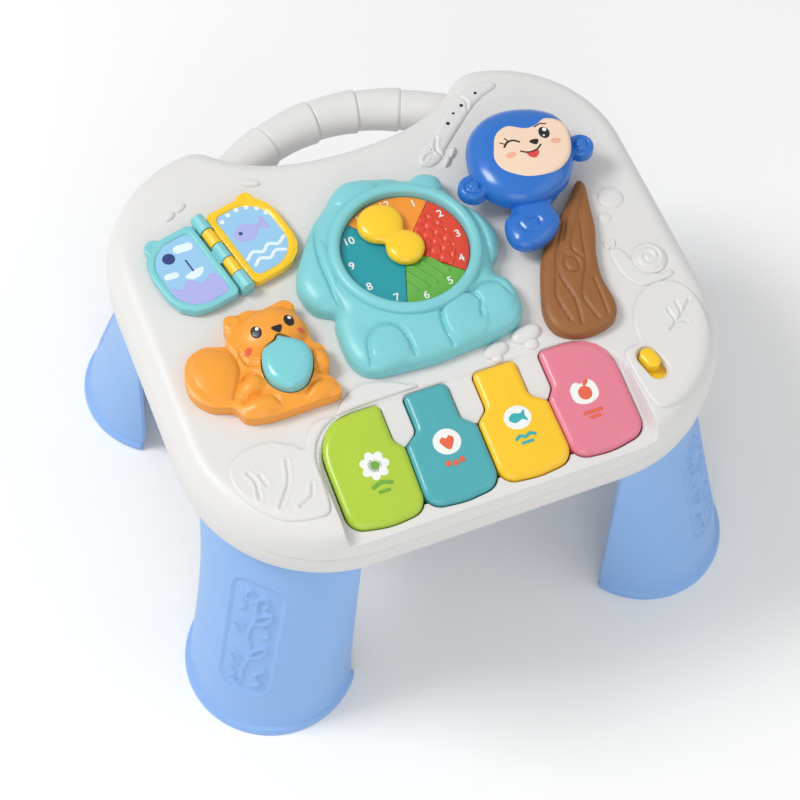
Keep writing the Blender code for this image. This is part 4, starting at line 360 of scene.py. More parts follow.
SHOULDER_REACH = 11.8
SHOULDER_POWER = 2.4
DECK_MIDDLE = (46, -78)
DECK_RADIUS = 25.5
DECK_BLEND = 0.8
DECK_EDGE = 0.9


def shoulder(x, y):
    """Tray height: a rounded shoulder as a power curve of the depth inside the outline, sunk to the
    deck's smooth minimum inside a rounded rectangle, with an eased step between them."""
    inset = np.clip((within(x, y, OUTLINE) + PROUD) / SHOULDER_REACH, 0, 1)
    plateau = SPLIT + (TOP - SPLIT) * (1 - (1 - inset) ** SHOULDER_POWER) ** (1 / SHOULDER_POWER)
    qx, qy = np.abs(x) - DECK_MIDDLE[0], y - DECK_MIDDLE[1]
    deck = DECK_RADIUS - np.hypot(np.maximum(qx, 0), np.maximum(qy, 0)) - np.minimum(np.maximum(qx, qy), 0)
    low = -DECK_BLEND * np.logaddexp(-plateau / DECK_BLEND, -deck_level(y) / DECK_BLEND)
    return plateau + (np.minimum(low, plateau) - plateau) * eased(deck, -DECK_EDGE, DECK_EDGE)


LIP = 0.5
FAR = 9.0


def tray_top(x, y):
    """The shoulder's height with lips rolled over at the openings."""
    lip = np.full(np.shape(x), FAR)
    for hole in OPENINGS:
        lip = np.minimum(lip, -within(x, y, hole) - GAP)
    return shoulder(x, y) + quarter(lip, LIP, LIP) - LIP


def tray_foot(x, y):
    """The outer wall ends at the parting line, an opening's wall a little below the deck."""
    return np.where(within(x, y, OUTLINE) < 1.6, SPLIT + 0.2, shoulder(x, y) - 6)


white = plastic("warm_white_plastic", (0.72, 0.71, 0.695), 0.42, 0.05, 0.5)
piece("tray_moulding", pressed((-127, 127, -111, 107.5), 0.8, in_tray, tray_top, tray_reach, tray_foot,
        False), white, "table", "top_casing", slot="white_shell")

# Scenery on the tray: low cloud, bush, snail, mushroom, pebble and long-necked animal reliefs of
# the same moulding, with veins and creases pressed in.
CLOUD = flowing([(-107.5, -60.5), (-99.9, -55.3), (-88.1, -54.7), (-79, -59.5), (-74.6, -62.8),
        (-70.7, -56.1), (-64.7, -52), (-57, -52.2), (-50.6, -45.8), (-40.6, -42.1), (-29, -45), (-21, -49.6),
        (-17, -51.4), (-30, -51.7), (-46, -51.9), (-58, -53.5), (-67, -59.5), (-72, -69), (-73, -82),
        (-75, -94), (-83, -95), (-95, -91), (-104.5, -81), (-109, -70)], 4)
BUSH = flowing([(72.8, -72), (75, -66.2), (81.4, -64.9), (82.6, -58), (84.6, -52), (88.4, -46), (94.4, -41),
                (102.6, -38.7), (110.5, -41.5), (115, -48), (116.5, -60), (113, -74), (104, -86), (92, -95),
                (80, -98.5), (74.2, -94)], 4)


def stroke(points, steps=6):
    """Open Catmull-Rom curve through the points."""
    p = np.array(points, float)
    p = np.vstack((2 * p[0] - p[1], p, 2 * p[-1] - p[-2]))
    t = np.arange(steps)[:, None, None] / steps
    a, b, c, d = p[:-3], p[1:-2], p[2:-1], p[3:]
    curve = 0.5 * (2 * b + (c - a) * t + (2 * a - 5 * b + 4 * c - d) * t ** 2
                   + (3 * b - a - 3 * c + d) * t ** 3)
    return np.vstack((curve.transpose(1, 0, 2).reshape(-1, 2), p[-2]))


VEINS = [stroke(points) for points in ([(-101.5, -66), (-99.6, -71), (-100.6, -79)],
        [(-84, -66), (-87, -76), (-94, -85.5)], [(-77.6, -80), (-80, -85), (-86, -88)],
        [(-97, -68.5), (-95.6, -74)], [(97.4, -63.7), (104, -59.5), (112, -52.4)],
        [(101.5, -60.8), (100.6, -54)], [(105.6, -58), (105.8, -51.5)], [(101, -60.8), (106, -62.6)])]


def fixed(value):
    """A height or width that is the same everywhere."""
    return lambda x, y: np.full(np.shape(x), float(value))


def relief(rise, loop, edge=1.5, crease=(), depth=0.8, hole=None):
    """Distance function and top of a low relief with a soft edge that follows the tray."""
    def room(x, y):
        """Depth inside the loop and outside the hole."""
        d = within(x, y, loop)
        return d if hole is None else np.minimum(d, -within(x, y, hole) - 1.2)

    def top(x, y):
        """Tray height plus a rounded edge, less Gaussian creases with a raised brim beside them."""
        z = shoulder(x, y) + quarter(room(x, y), edge, rise)
        if len(crease):
            near = np.minimum.reduce([nearness(x, y, path) for path in crease])
            z = z - depth * np.exp(-(near / 0.55) ** 2) + 0.25 * np.exp(-((near - 1.4) / 0.6) ** 2)
        return z

    return room, top


def low_relief(name, loop, rise, edge=1.5, step=0.5, crease=(), hole=None, depth=0.8):
    """Piece for one relief, on a grid a millimetre wider than its outline."""
    room, top = relief(rise, loop, edge, crease, depth, hole)
    low, high = loop.min(0) - 1, loop.max(0) + 1
    piece(name, pressed((low[0], high[0], low[1], high[1]), step, room, top, fixed(0.3),
            lambda x, y: shoulder(x, y) - 0.5), white, "table", sharp=70, slot="white_shell")


low_relief("relief_cloud", CLOUD, 1.5, 1.1, crease=VEINS[:4], depth=1.0)
low_relief("relief_bush", BUSH, 1.5, 1.1, crease=VEINS[4:], hole=OPENINGS[-1], depth=1.0)


def round_loop(x, y, rx, ry=None, turn=0.0):
    """Ellipse as a counter-clockwise loop."""
    a = np.linspace(0, 2 * np.pi, 48, endpoint=False)
    c, s = math.cos(math.radians(turn)), math.sin(math.radians(turn))
    u, v = rx * np.cos(a), (ry or rx) * np.sin(a)
    return np.stack((x + u * c - v * s, y + u * s + v * c), 1)


coil = np.linspace(0, 3.6 * np.pi, 60)
coil = np.stack((105 + (1 + 0.55 * coil) * np.cos(coil), -26 + (1 + 0.55 * coil) * np.sin(coil)), 1)
low_relief("relief_snail_body", flowing([(89.2, -16.6), (92.6, -15.4), (95.6, -18.2), (97, -24), (100, -32),
            (107, -35), (112, -35.2), (111, -37.8), (103, -39), (95, -38), (90.6, -33), (89, -25)], 5), 1.3,
    1.8)
low_relief("relief_snail_shell", round_loop(105, -26, 8.2), 2.4, 5.5, 0.4, crease=[coil], depth=0.55)
for number, (x, y, rx, ry, turn, rise) in enumerate(((20.6, -46.6, 6.2, 3.6, 12, 2.4),
            (36.4, -43.4, 7.4, 4.4, 8, 2.8), (19.6, -50.4, 2.6, 2.3, 0, 1.5),
            (36.6, -48.8, 3.4, 3.0, 0, 1.7), (102.6, 10.4, 6.0, 6.0, 0, 1.5), (95.4, 1.2, 3.1, 3.1, 0, 1.0),
            (89.6, -13.4, 0.9, 2.0, 20, 1.0), (93.4, -12.6, 0.9, 2.0, -12, 1.0),
            (39.6, 54.8, 1.5, 3.4, -40, 1.9), (43.6, 58.4, 1.5, 3.4, -40, 1.9),
            (-90.5, 69.5, 3.2, 1.8, 30, 1.2), (-84.5, 72.5, 3.2, 1.8, 30, 1.2),
            (-50, 74.5, 4.6, 2.0, -24, 1.2))):
    low_relief("relief_round_%d" % (number + 1), round_loop(x, y, rx, ry, turn), rise, min(rx, ry) * 0.9,
        0.35)
HEAD = flowing([(27, 57.5), (31.5, 54.6), (37.5, 57), (41.5, 61.5), (47, 66.5), (55, 73.5), (62, 79.6),
        (70, 84.4), (78, 87.6), (76.4, 91.4), (67, 91.2), (58, 87.4), (50, 81.6), (44, 75.4), (39.4, 70.6),
        (33.6, 67.4), (29, 63)], 4)
low_relief("relief_long_neck", HEAD, 1.3, 2.2, step=0.45, depth=0.7,
    crease=[stroke(points) for points in ([(29.6, 58.4), (32, 60.4), (35, 60.6)],
            [(38.4, 58.6), (37.2, 63), (39.6, 68.6)], [(60, 79.5), (61.4, 83.4), (59.6, 86.6)])])


def merged(shapes):
    """Several shapes as one."""
    points, faces, total = [], [], 0
    for place, sides in shapes:
        points.append(place)
        faces += [[v + total for v in side] for side in sides]
        total += len(place)
    return np.vstack(points), faces


def printed(rooms, base, step=0.3, rise=0.12):
    """Thin domed prints that follow the surface below them: one for each outline or distance function."""
    shapes = []
    for room, (x, y, span) in rooms:
        shapes.append(pressed((x - span, x + span, y - span, y + span), step, room,
                              lambda qx, qy, room=room: base(qx, qy) + quarter(room(qx, qy), 0.5, rise),
                              lambda qx, qy: np.full(np.shape(qx), 0.12), lambda qx, qy: base(qx, qy) - 0.4))
    return merged(shapes)


def oval(x, y, rx, ry, turn=0.0):
    """Distance function of an ellipse and the square it lies in."""
    c, s = math.cos(math.radians(turn)), math.sin(math.radians(turn))

    def room(px, py):
        """One less the elliptic radius, scaled to millimetres by the smaller half axis."""
        u, v = (px - x) * c + (py - y) * s, (py - y) * c - (px - x) * s
        return (1 - np.hypot(u / rx, v / ry)) * min(rx, ry)

    return room, (x, y, max(rx, ry) + 0.6)


ink_black = plastic("black_ink", (0.012, 0.012, 0.014), 0.3, 0.02, 0.15)
spots = [oval(x, y, r, r) for x, y, r in ((48, 74.4, 0.95), (58, 82, 0.95), (35.6, 62.6, 0.95),
        (52.6, 79, 0.7), (67, 86.6, 0.8))]
piece("relief_spots", printed(spots, lambda x, y: shoulder(x, y) + quarter(within(x, y, HEAD), 2.2, 1.3),
        0.2), ink_black, "table", slot="dark")

# Tray base: the lower white moulding with sockets for the legs; a smooth band closes its side up
# to the parting line, and its underside keeps the grille, the battery door and the screws.


def lofted(rings, cap=None):
    """Closed rings of equal count joined by quads; a cap is 'fan' or 'strip' between two half loops."""
    rings = np.asarray(rings, float)
    rows, count = rings.shape[:2]
    ids = np.arange(rows * count).reshape(rows, count)
    after = np.roll(ids, -1, axis=1)
    faces = np.stack((ids[:-1], after[:-1], after[1:], ids[1:]), -1).reshape(-1, 4).tolist()
    points = rings.reshape(-1, 3)
    if cap == "fan":
        for row, turned in ((0, True), (rows - 1, False)):
            points = np.vstack((points, rings[row].mean(0)))
            middle = np.full(count, len(points) - 1)
            fan = np.stack((ids[row], after[row], middle), 1)
            faces += (fan[:, ::-1] if turned else fan).tolist()
    if cap == "strip":
        half = np.arange(count // 2)
        for row, turned in ((0, True), (rows - 1, False)):
            near, far = ids[row][half], ids[row][count - 1 - half]
            strip = np.stack((near[:-1], near[1:], far[1:], far[:-1]), 1)
            faces += (strip[:, ::-1] if turned else strip).tolist()
    return points, faces


def outward(loop):
    """Unit normals of a counter-clockwise loop, pointing out of it."""
    run = np.roll(loop, -1, 0) - np.roll(loop, 1, 0)
    run /= np.linalg.norm(run, axis=1)[:, None]
    return np.stack((run[:, 1], -run[:, 0]), 1)


def repaint(material, *names):
    """Gives CAD nodes a finished material."""
    for name in names:
        nodes[name].material_slots[0].material = material


normals = outward(OUTLINE)
band = []
for inset, height in ((5.4, 124.0), (3.9, 124.2), (2.2, 125.2), (0.9, 127.6), (0.2, 131.5), (0.0, 136.0),
        (0.0, 141.3), (0.35, 141.75), (1.6, 141.75), (1.6, 136), (2.2, 131), (3.2, 127.5), (5.4, 126.2)):
    band.append(np.column_stack((OUTLINE - normals * (inset - 0.15), np.full(len(OUTLINE), height))))
base_white = plastic("base_white_plastic", (0.70, 0.69, 0.675), 0.46, 0.05, 0.6)
points, faces = lofted(band)
rows, count = len(band), len(OUTLINE)
first, last = np.arange(count), (rows - 1) * count + np.arange(count)
faces += np.stack((np.roll(first, -1), first, last, np.roll(last, -1)), 1)[:, ::-1].tolist()
piece("base_band", (points, faces), base_white, "table", slot="white_shell")
repaint(base_white, "bottom_casing", "battery_door")

# Carrying handle: a white bar across the hollow at the back, ringed like a bamboo cane, each
# length swelling towards its upper joint; moulded in one with the tray's halves.
SPAN = 69
BOW = 29
HANDLE_BACK = 111
HANDLE_LEVEL = 143.0
HANDLE_RADIUS = 9.7
SWELL = 0.9
GROOVE = 0.55
HANDLE_JOINTS = np.array((-0.83, -0.46, -0.09, 0.23, 0.52, 0.84)) * SPAN
t = np.linspace(-SPAN, SPAN, 280)
before = np.concatenate(((-SPAN,), HANDLE_JOINTS))
after = np.concatenate((HANDLE_JOINTS, (SPAN,)))
length = np.searchsorted(HANDLE_JOINTS, t)
share = (t - before[length]) / (after - before)[length]
to_joint = np.abs(t[:, None] - HANDLE_JOINTS).min(1)
radius = HANDLE_RADIUS + SWELL * share ** 1.5 - GROOVE * np.exp(-((to_joint / GROOVE) ** 2))
angle = np.linspace(0, 2 * np.pi, 40, endpoint=False)
centre = np.stack((t, HANDLE_BACK - BOW * (t / SPAN) ** 2, np.full(len(t), HANDLE_LEVEL)), 1)
run = np.stack((np.ones(len(t)), -2 * BOW * t / SPAN ** 2, np.zeros(len(t))), 1)
run /= np.linalg.norm(run, axis=1)[:, None]
side = np.stack((-run[:, 1], run[:, 0], run[:, 2]), 1)
rings = (centre[:, None] + radius[:, None, None] * (np.cos(angle)[None, :, None] * side[:, None]
         + np.sin(angle)[None, :, None] * np.array((0, 0, 1.0))))
piece("handle_bar", lofted(rings, "fan"), white, "table", "carry_handle", sharp=60, slot="white_shell")

# Legs: four curved pale blue shells that plug into the base, each with a sunk oblong panel of
# plants in relief on its outer face and a flared, lipped foot.
PLANTS = [stroke(line) for line in (
    [(-2, 32), (-1, 44), (1.5, 56), (-1.5, 68), (1, 80), (0, 92)],
    [(-1, 40), (-6, 45), (-8, 52), (-4, 50), (-1, 44)],
    [(1, 52), (6, 55), (8.5, 61), (4.5, 60), (1.5, 56)],
    [(-1, 64), (-6, 66), (-9, 72), (-5, 72), (-1.5, 68)],
    [(1, 76), (6, 78), (8, 84), (4, 83), (1, 80)],
    [(0, 92), (-4, 96), (-5, 91), (-1, 90), (3, 94), (6, 91), (4, 88)],
    [(-8, 34), (-5, 38), (-8, 41), (-4, 33)], [(4, 33), (8, 37), (5, 41), (9, 46)],
    [(5, 68), (8, 70), (7, 74)], [(-8, 82), (-5, 85), (-8, 88)])]


FRONT_AXIS = (59, -43)
BACK_AXIS = 65 - 8.5 / math.sqrt(2), 45 - 8.5 / math.sqrt(2)
LEG_TOP = 123.7
PLUG_TOP = 137
FLARE_TOP = 19
LEG_WALL = 2.8
ROUND = LEG_WALL / 2
PLUG_STEP = 0.7
PLUG_TRIM = 12
PANEL = (5, 29, 7.5)
PANEL_LEVEL = 65
PANEL_DEPTH = 0.9
PLANT_RISE = 1.2


def leg_shape(side, end):
    """C section: an outer arc set by reach, ends and chord, a wall thinning to round ends, lofted from
    the flared foot to the socket and on as a slimmer plug; panel and plants move the outer face."""
    frame_x, frame_y = BACK_AXIS if end > 0 else FRONT_AXIS
    z = np.concatenate(((0.0, 0.6, 1.6, 2.6), np.linspace(3.2, 5, 6), np.linspace(7, 27, 12),
            np.linspace(27.7, 102.3, 110), np.linspace(105, LEG_TOP, 10), (LEG_TOP, 125, PLUG_TOP)))
    plug = np.arange(len(z)) >= len(z) - 3
    up = np.clip((z - FLARE_TOP) / (LEG_TOP - FLARE_TOP), 0, 1)
    flare = np.clip(1 - z / FLARE_TOP, 0, 1) ** 1.6
    reach = 92.5 + (60 - 92.5) * up + 5.5 * flare - PLUG_STEP * plug
    tip = 48 + (44.5 - 48) * up + 2 * flare - PLUG_STEP * plug
    chord = 38.5 + (40.2 - 38.5) * up + 1.7 * flare
    lip = 1.3 * (1 - eased(z, 3.4, 4.6))
    rise = reach - tip
    radius = (chord ** 2 + rise ** 2) / (2 * rise)
    middle = reach - radius
    half = np.arctan2(chord, tip - middle) - PLUG_TRIM / radius * plug
    a = np.linspace(-1, 1, 121)[None, :] * half[:, None]
    across = a * radius[:, None]
    height = np.broadcast_to(z[:, None], a.shape)
    to_end = (half[:, None] - np.abs(a)) * radius[:, None]
    thin = (ROUND - PLUG_STEP * plug)[:, None] * (1 - quarter(to_end, ROUND, 1))
    qx, qy = np.abs(across) - PANEL[0], np.abs(height - PANEL_LEVEL) - PANEL[1]
    panel = PANEL[2] - np.hypot(np.maximum(qx, 0), np.maximum(qy, 0)) - np.minimum(np.maximum(qx, qy), 0)
    plants = np.minimum.reduce([nearness(across, height, line) for line in PLANTS])
    relief = PLANT_RISE * (1 - eased(plants, 0.5, 1.2)) * eased(panel, 0, 1)
    relief += 0.35 * np.exp(-((panel + 1.2) / 0.7) ** 2) - PANEL_DEPTH * eased(panel, -0.4, 0.4)
    foot_edge = 0.5 * np.exp(-z / 0.5)[:, None]
    outer = radius[:, None] + lip[:, None] + relief - thin - foot_edge
    inner = (radius - LEG_WALL + ROUND * plug)[:, None] + thin + foot_edge
    radii = np.concatenate((outer, inner[:, ::-1]), 1)
    turns = np.concatenate((a, a[:, ::-1]), 1)
    u, v = middle[:, None] + radii * np.cos(turns), radii * np.sin(turns)
    x = side * (frame_x + (u - v) / math.sqrt(2))
    y = frame_y + end * (u + v) / math.sqrt(2)
    rings = np.stack((x, y, np.broadcast_to(z[:, None], x.shape)), -1)
    return lofted(rings[:, ::-1] if side * end < 0 else rings, "strip")


leg_blue = plastic("pale_blue_plastic", (0.245, 0.44, 0.80), 0.40, 0.06, 0.5)
for name, side, end in (("leg_front_left", -1, -1), ("leg_front_right", 1, -1),
                        ("leg_back_left", -1, 1), ("leg_back_right", 1, 1)):
    piece(name.replace("leg_", "shell_leg_"), leg_shape(side, end), leg_blue, name + "_part", name, sharp=50,
        slot="leg_blue")

# Keys: four glossy caps on arms hinged inside the tray. Each is a thin skin a little proud of the
# modelled key, with a rounded edge and a slight crown.


def inset_of(loop, grow=0.0):
    """Distance function of one outline, moved out by grow."""
    return lambda x, y: within(x, y, loop) + grow


KEY_EDGE = 3.4
KEY_STEP = 0.55
KEY_SKIRT = 7.5


def key_top(loop):
    """Cap above the deck: a step, a quarter-round edge and a slight crown eased in from it."""
    return lambda x, y: (deck_level(y) + KEY_STEP + quarter(within(x, y, loop) + PROUD, KEY_EDGE, 2.2)
                         + 0.4 * eased(within(x, y, loop), 4, 14))


KEY_PAINTS = {"green": plastic("lime_plastic", (0.42, 0.60, 0.045), 0.28, 0.06, 0.25, 0.2),
              "teal": plastic("teal_plastic", (0.075, 0.39, 0.43), 0.28, 0.06, 0.25, 0.2),
              "yellow": plastic("key_yellow_plastic", (0.92, 0.56, 0.02), 0.28, 0.06, 0.25, 0.2),
              "pink": plastic("pink_plastic", (0.76, 0.21, 0.29), 0.28, 0.06, 0.25, 0.2)}
KEY_SLOTS = {"green": "lime", "teal": "teal", "yellow": "yellow", "pink": "pink"}
key_tops = {}
for name, loop in KEYS.items():
    low, high = loop.min(0) - 1, loop.max(0) + 1
    key_tops[name] = key_top(loop)
    piece("keycap_" + name, pressed((low[0], high[0], low[1], high[1]), 0.6, inset_of(loop, PROUD),
            key_tops[name], fixed(0.5), lambda x, y: deck_level(y) - KEY_SKIRT, False), KEY_PAINTS[name],
        "key_%s_part" % name, slot=KEY_SLOTS[name])
    repaint(KEY_PAINTS[name], "key_" + name)

# Key labels: printed stickers, each a pale badge with a plain sign of the maker's own (flower,
# heart, fish, apple) over a few strokes; they bear no letters.
pale_ink = plastic("pale_print", (0.84, 0.86, 0.82), 0.42, 0.03, 0.2)
coral_ink = plastic("coral_print", (0.76, 0.13, 0.06), 0.4, 0.03, 0.2)
leaf_ink = plastic("leaf_green_print", (0.16, 0.40, 0.05), 0.4, 0.03, 0.2)
sea_ink = plastic("sea_print", (0.04, 0.40, 0.44), 0.4, 0.03, 0.2)


def line(points, width):
    """Distance function of a rounded stroke of one width."""
    path = stroke(points)
    middle = (path.min(0) + path.max(0)) / 2
    span = (path.max(0) - path.min(0)).max() / 2 + width + 0.4
    return (lambda px, py: width / 2 - nearness(px, py, path)), (*middle, span)


def patch(points, steps=6):
    """Distance function of a flowing closed outline."""
    loop = flowing(points, steps)
    middle = (loop.min(0) + loop.max(0)) / 2
    return (lambda px, py: within(px, py, loop)), (*middle, (loop.max(0) - loop.min(0)).max() / 2 + 0.6)


def petals(x, y, count, reach, size):
    """Ovals set round a centre."""
    turns = [360 * i / count for i in range(count)]
    return [oval(x + reach * math.cos(math.radians(t)), y + reach * math.sin(math.radians(t)), size,
            size * 0.72, t) for t in turns]


def shifted(x, y, points):
    """Points moved by x and y."""
    return [(x + px, y + py) for px, py in points]


LABELS = {"green": [("badge", pale_ink, petals(-49.3, -79.5, 7, 3.6, 3.0) + [oval(-49.3, -79.5, 3.6, 3.6)]),
        ("sign", leaf_ink, [oval(-49.3, -79.5, 1.9, 1.9),
                line([(-53.4, -88.6), (-49.3, -87.4), (-45.2, -88.6)], 1.6),
                line([(-51.4, -91.3), (-47.2, -91.3)], 1.3)])],
    "teal": [("badge", pale_ink, [oval(-16.1, -79.6, 6.2, 5.8)]),
        ("sign", coral_ink, [patch(shifted(-16.1, -80.0,
                [(0, -3.4), (2.6, -0.6), (3.1, 1.5), (1.5, 2.7), (0, 1.7), (-1.5, 2.7), (-3.1, 1.5),
                (-2.6, -0.6)])), oval(-19.2, -89, 1.3, 1.3), oval(-16.1, -89.6, 1.3, 1.3),
                oval(-13, -89, 1.3, 1.3)])], "yellow": [("badge", pale_ink, [oval(17, -79.4, 6.2, 5.4)]),
        ("sign", sea_ink, [patch(shifted(17, -79.4,
                [(-4.2, 0), (-1.8, 2.2), (1.6, 1.4), (3.9, 2.8), (3.3, 0), (3.9, -2.8), (1.6, -1.4),
                (-1.8, -2.2)])), line([(12.6, -88.6), (14.8, -87.6), (17, -88.6), (19.2, -87.6),
                (21.4, -88.6)], 1.3), line([(14.6, -91), (19.4, -91)], 1.2)])],
    "pink": [("badge", pale_ink, [patch(shifted(49.4, -78,
                [(0, -5.6), (5.4, -3.4), (5.9, 2.2), (3, 5.2), (0, 3.9), (-3, 5.2), (-5.9, 2.2),
                (-5.4, -3.4)]))]), ("sign", coral_ink,
            [oval(49.4, -78.6, 3.1, 3.1), oval(51.2, -74.2, 1.9, 0.9, 40),
                line([(45.4, -87.4), (53.4, -87.4)], 1.3), line([(47.4, -89.8), (51.4, -89.8)], 1.3)])]}
for name, parts in LABELS.items():
    for order, (kind, ink, shapes) in enumerate(parts):
        piece("label_%s_%s" % (name, kind),
                      printed(shapes, lambda qx, qy, z=order * 0.22, top=key_tops[name]: top(qx, qy) + z),
                      ink, "key_%s_part" % name, slot="white_shell" if kind == "badge" else KEY_SLOTS[name])

# Elephant: a hollow turquoise moulding screwed on from inside, with ears, feet and a thick ring
# round the clock, its creases left by the mould.
ELEPHANT = flowing([(-19.6, 51.2), (-33.2, 38.8), (-41.8, 27.4), (-50.6, 12.5), (-48.6, -1.7), (-40.3, -8.0),
        (-41.9, -13), (-42.9, -27), (-40.5, -36.5), (-34, -41.5), (-21.8, -43), (-6.6, -44), (8.9, -43),
        (22.1, -42), (34.7, -38.6), (39.5, -30), (38.8, -18), (34.2, -12.8), (36, -6), (40.4, -2),
        (43.2, 7.2), (41, 17), (37, 23.6), (33, 29.2), (30.6, 37), (29.4, 44), (22.3, 48), (15.2, 47),
        (8.2, 51.1), (-1.5, 54), (-11.5, 55.4)], 5)
ELEPHANT_CREASES = [stroke(line) for line in (
    [(-22, 49), (-31, 39), (-36.5, 25), (-38, 10), (-37.5, -8)],
    [(31, 31), (35.5, 20), (36.5, 8), (34.5, -8)],
    [(-35, -38.5), (-32.3, -28.1), (-26.9, -22.9), (-19.5, -23.6), (-15.9, -29.4), (-15.2, -40)],
    [(2.2, -41), (1.5, -30.6), (4.4, -22.5), (11.6, -19.1), (18.8, -20.7), (21.1, -25.4), (19, -33)],
    [(18.8, -20.7), (25.1, -18), (32.6, -19.4), (35.8, -26.2)])]


def dome(x, y, cx, cy, rx, ry, rise, turn=0.0):
    """Upper half of an ellipsoid, zero outside it."""
    c, s = math.cos(math.radians(turn)), math.sin(math.radians(turn))
    u, v = (x - cx) * c + (y - cy) * s, (y - cy) * c - (x - cx) * s
    return rise * np.sqrt(np.clip(1 - (u / rx) ** 2 - (v / ry) ** 2, 0, 1))


def elephant_top(x, y):
    """Rounded edge rising to the clock, plus domes for ears and feet, less grooves of Gaussian section
    outside the clock; flat under the clock."""
    d = within(x, y, ELEPHANT)
    r = np.hypot(x, y - DIAL_Y)
    crease = np.minimum.reduce([nearness(x, y, line) for line in ELEPHANT_CREASES])
    z = 4.4 + quarter(d, 8.5, 6.0) + 1.6 * eased(r, 46, 32)
    z = z + dome(x, y, -11, 48, 12, 8, 1.6) + dome(x, y, 24, 42, 8, 8, 1.6) + dome(x, y, -44, 17, 12, 20,
        1.2)
    z = z + dome(x, y, -25, -33, 9, 11, 1.3) + dome(x, y, 12, -31, 10, 12, 1.5) + dome(x, y, 28, -27, 9, 8,
        1.1)
    z = z - 1.5 * np.exp(-(crease / 0.95) ** 2) * eased(r, 33, 35)
    return TOP + np.where(r < 31, 8.8, z)


turquoise = plastic("turquoise_plastic", (0.205, 0.585, 0.625), 0.36, 0.06, 0.4)
piece("elephant_moulding", pressed((-53, 44.5, -45, 56.5), 0.6, inset_of(ELEPHANT), elephant_top, fixed(0.6),
        fixed(TOP + 0.3)), turquoise, "table", "elephant_body", slot="turquoise")


def turned(profile, x, y, count=120):
    """Profile of radius and height carried round an upright axis."""
    angle = np.linspace(0, 2 * np.pi, count, endpoint=False)
    profile = np.array(profile, float)
    return np.stack([np.stack((x + r * np.cos(angle), y + r * np.sin(angle), np.full(count, z)), 1)
                     for r, z in profile])


around = np.radians(np.arange(0, 180, 15))
ring_profile = ([(34.6, 169.5), (34.6, 171.6)]
    + [(31.3 + 2.5 * math.cos(a) * (1.25 if math.cos(a) > 0 else 0.9), 173.6 + 2.4 * math.sin(a))
        for a in around] + [(28.95, 172.6), (28.95, 169.5)])
rings = turned(ring_profile, 0, DIAL_Y)
points, faces = lofted(rings)
count = rings.shape[1]
first, last = np.arange(count), (len(rings) - 1) * count + np.arange(count)
faces += np.stack((first, np.roll(first, -1), np.roll(last, -1), last), 1)[:, ::-1].tolist()
piece("clock_ring", (points, faces), turquoise, "table", sharp=60, slot="turquoise")

# Clock face: four coloured sectors dropped into the ring, the green one ribbed and the red one
# bubbled, with white digits stamped round the edge.


def sector_surface(x, y, kind):
    """Relief of a sector above its plate: slanting ribs on green, round bumps on red."""
    r = np.hypot(x, y - DIAL_Y)
    clear = eased(r, 8.5, 10) * (1 - eased(r, 21.6, 22.6))
    if kind == "green":
        wave = np.cos((x * math.cos(0.55) + y * math.sin(0.55)) * 2 * np.pi / 4.3)
        return 1.0 * eased(wave, 0.0, 0.9) * clear
    if kind == "red":
        u = x / 5.2 + (y - DIAL_Y) / 5.2 / math.sqrt(3)
        v = (y - DIAL_Y) * 2 / 5.2 / math.sqrt(3)
        best = np.full(np.shape(x), FAR)
        for i in (0, 1):
            for j in (0, 1):
                ci, cj = np.floor(u) + i, np.floor(v) + j
                best = np.minimum(best, np.hypot(x - 5.2 * (ci - cj / 2),
                        y - DIAL_Y - 5.2 * cj * math.sqrt(3) / 2))
        return dome(best, 0 * best, 0, 0, 2.45, 2.45, 1.0) * clear
    return np.zeros(np.shape(x))


def sector(start, end, kind):
    """Polar grid between two angles, closed by side walls and a flat underside."""
    slim = 0.35
    radii = np.concatenate(((6.4, 6.45), np.linspace(6.8, 28.2, 62), (28.45, 28.5)))
    a = np.radians(np.linspace(start + slim, end - slim, 80))
    r, a = np.meshgrid(radii, a, indexing="ij")
    x, y = r * np.cos(a), DIAL_Y + r * np.sin(a)
    z = 171.5 + sector_surface(x, y, kind)
    z[[0, -1]] = 171.1
    z[:, [0, -1]] -= 0.25
    points = np.concatenate((np.stack((x, y, z), -1).reshape(-1, 3),
                             np.stack((x, y, np.full(x.shape, 170.1)), -1).reshape(-1, 3)))
    ids = np.arange(x.size).reshape(x.shape)
    top = np.stack((ids[:-1, :-1], ids[1:, :-1], ids[1:, 1:], ids[:-1, 1:]), -1).reshape(-1, 4)
    loop = np.concatenate((ids[0, :-1], ids[:-1, -1], ids[-1, :0:-1], ids[:0:-1, 0]))[::-1]
    after = np.roll(loop, -1)
    sides = np.stack((after, loop, loop + x.size, after + x.size), 1)
    return points, np.vstack((top, top[:, ::-1] + x.size, sides)).tolist()


DIAL = {"orange": (48, 132, (0.88, 0.30, 0.03)), "teal": (132, 250, (0.012, 0.31, 0.36)),
        "green": (250, 318, (0.13, 0.42, 0.06)), "red": (318, 408, (0.72, 0.055, 0.025))}
for name, (start, end, colour) in DIAL.items():
    piece("clock_sector_" + name, sector(start, end, name),
                  plastic("clock_%s_plastic" % name, colour, 0.30, 0.06, 0.25, 0.15), "table",
                  "dial_insert_" + name, sharp=55, slot=name)

DIGIT_RADIUS = 25.3
DIGIT_LEVEL = 171.58
ink_white = plastic("white_ink", (0.86, 0.86, 0.84), 0.5, 0.03, 0.2)


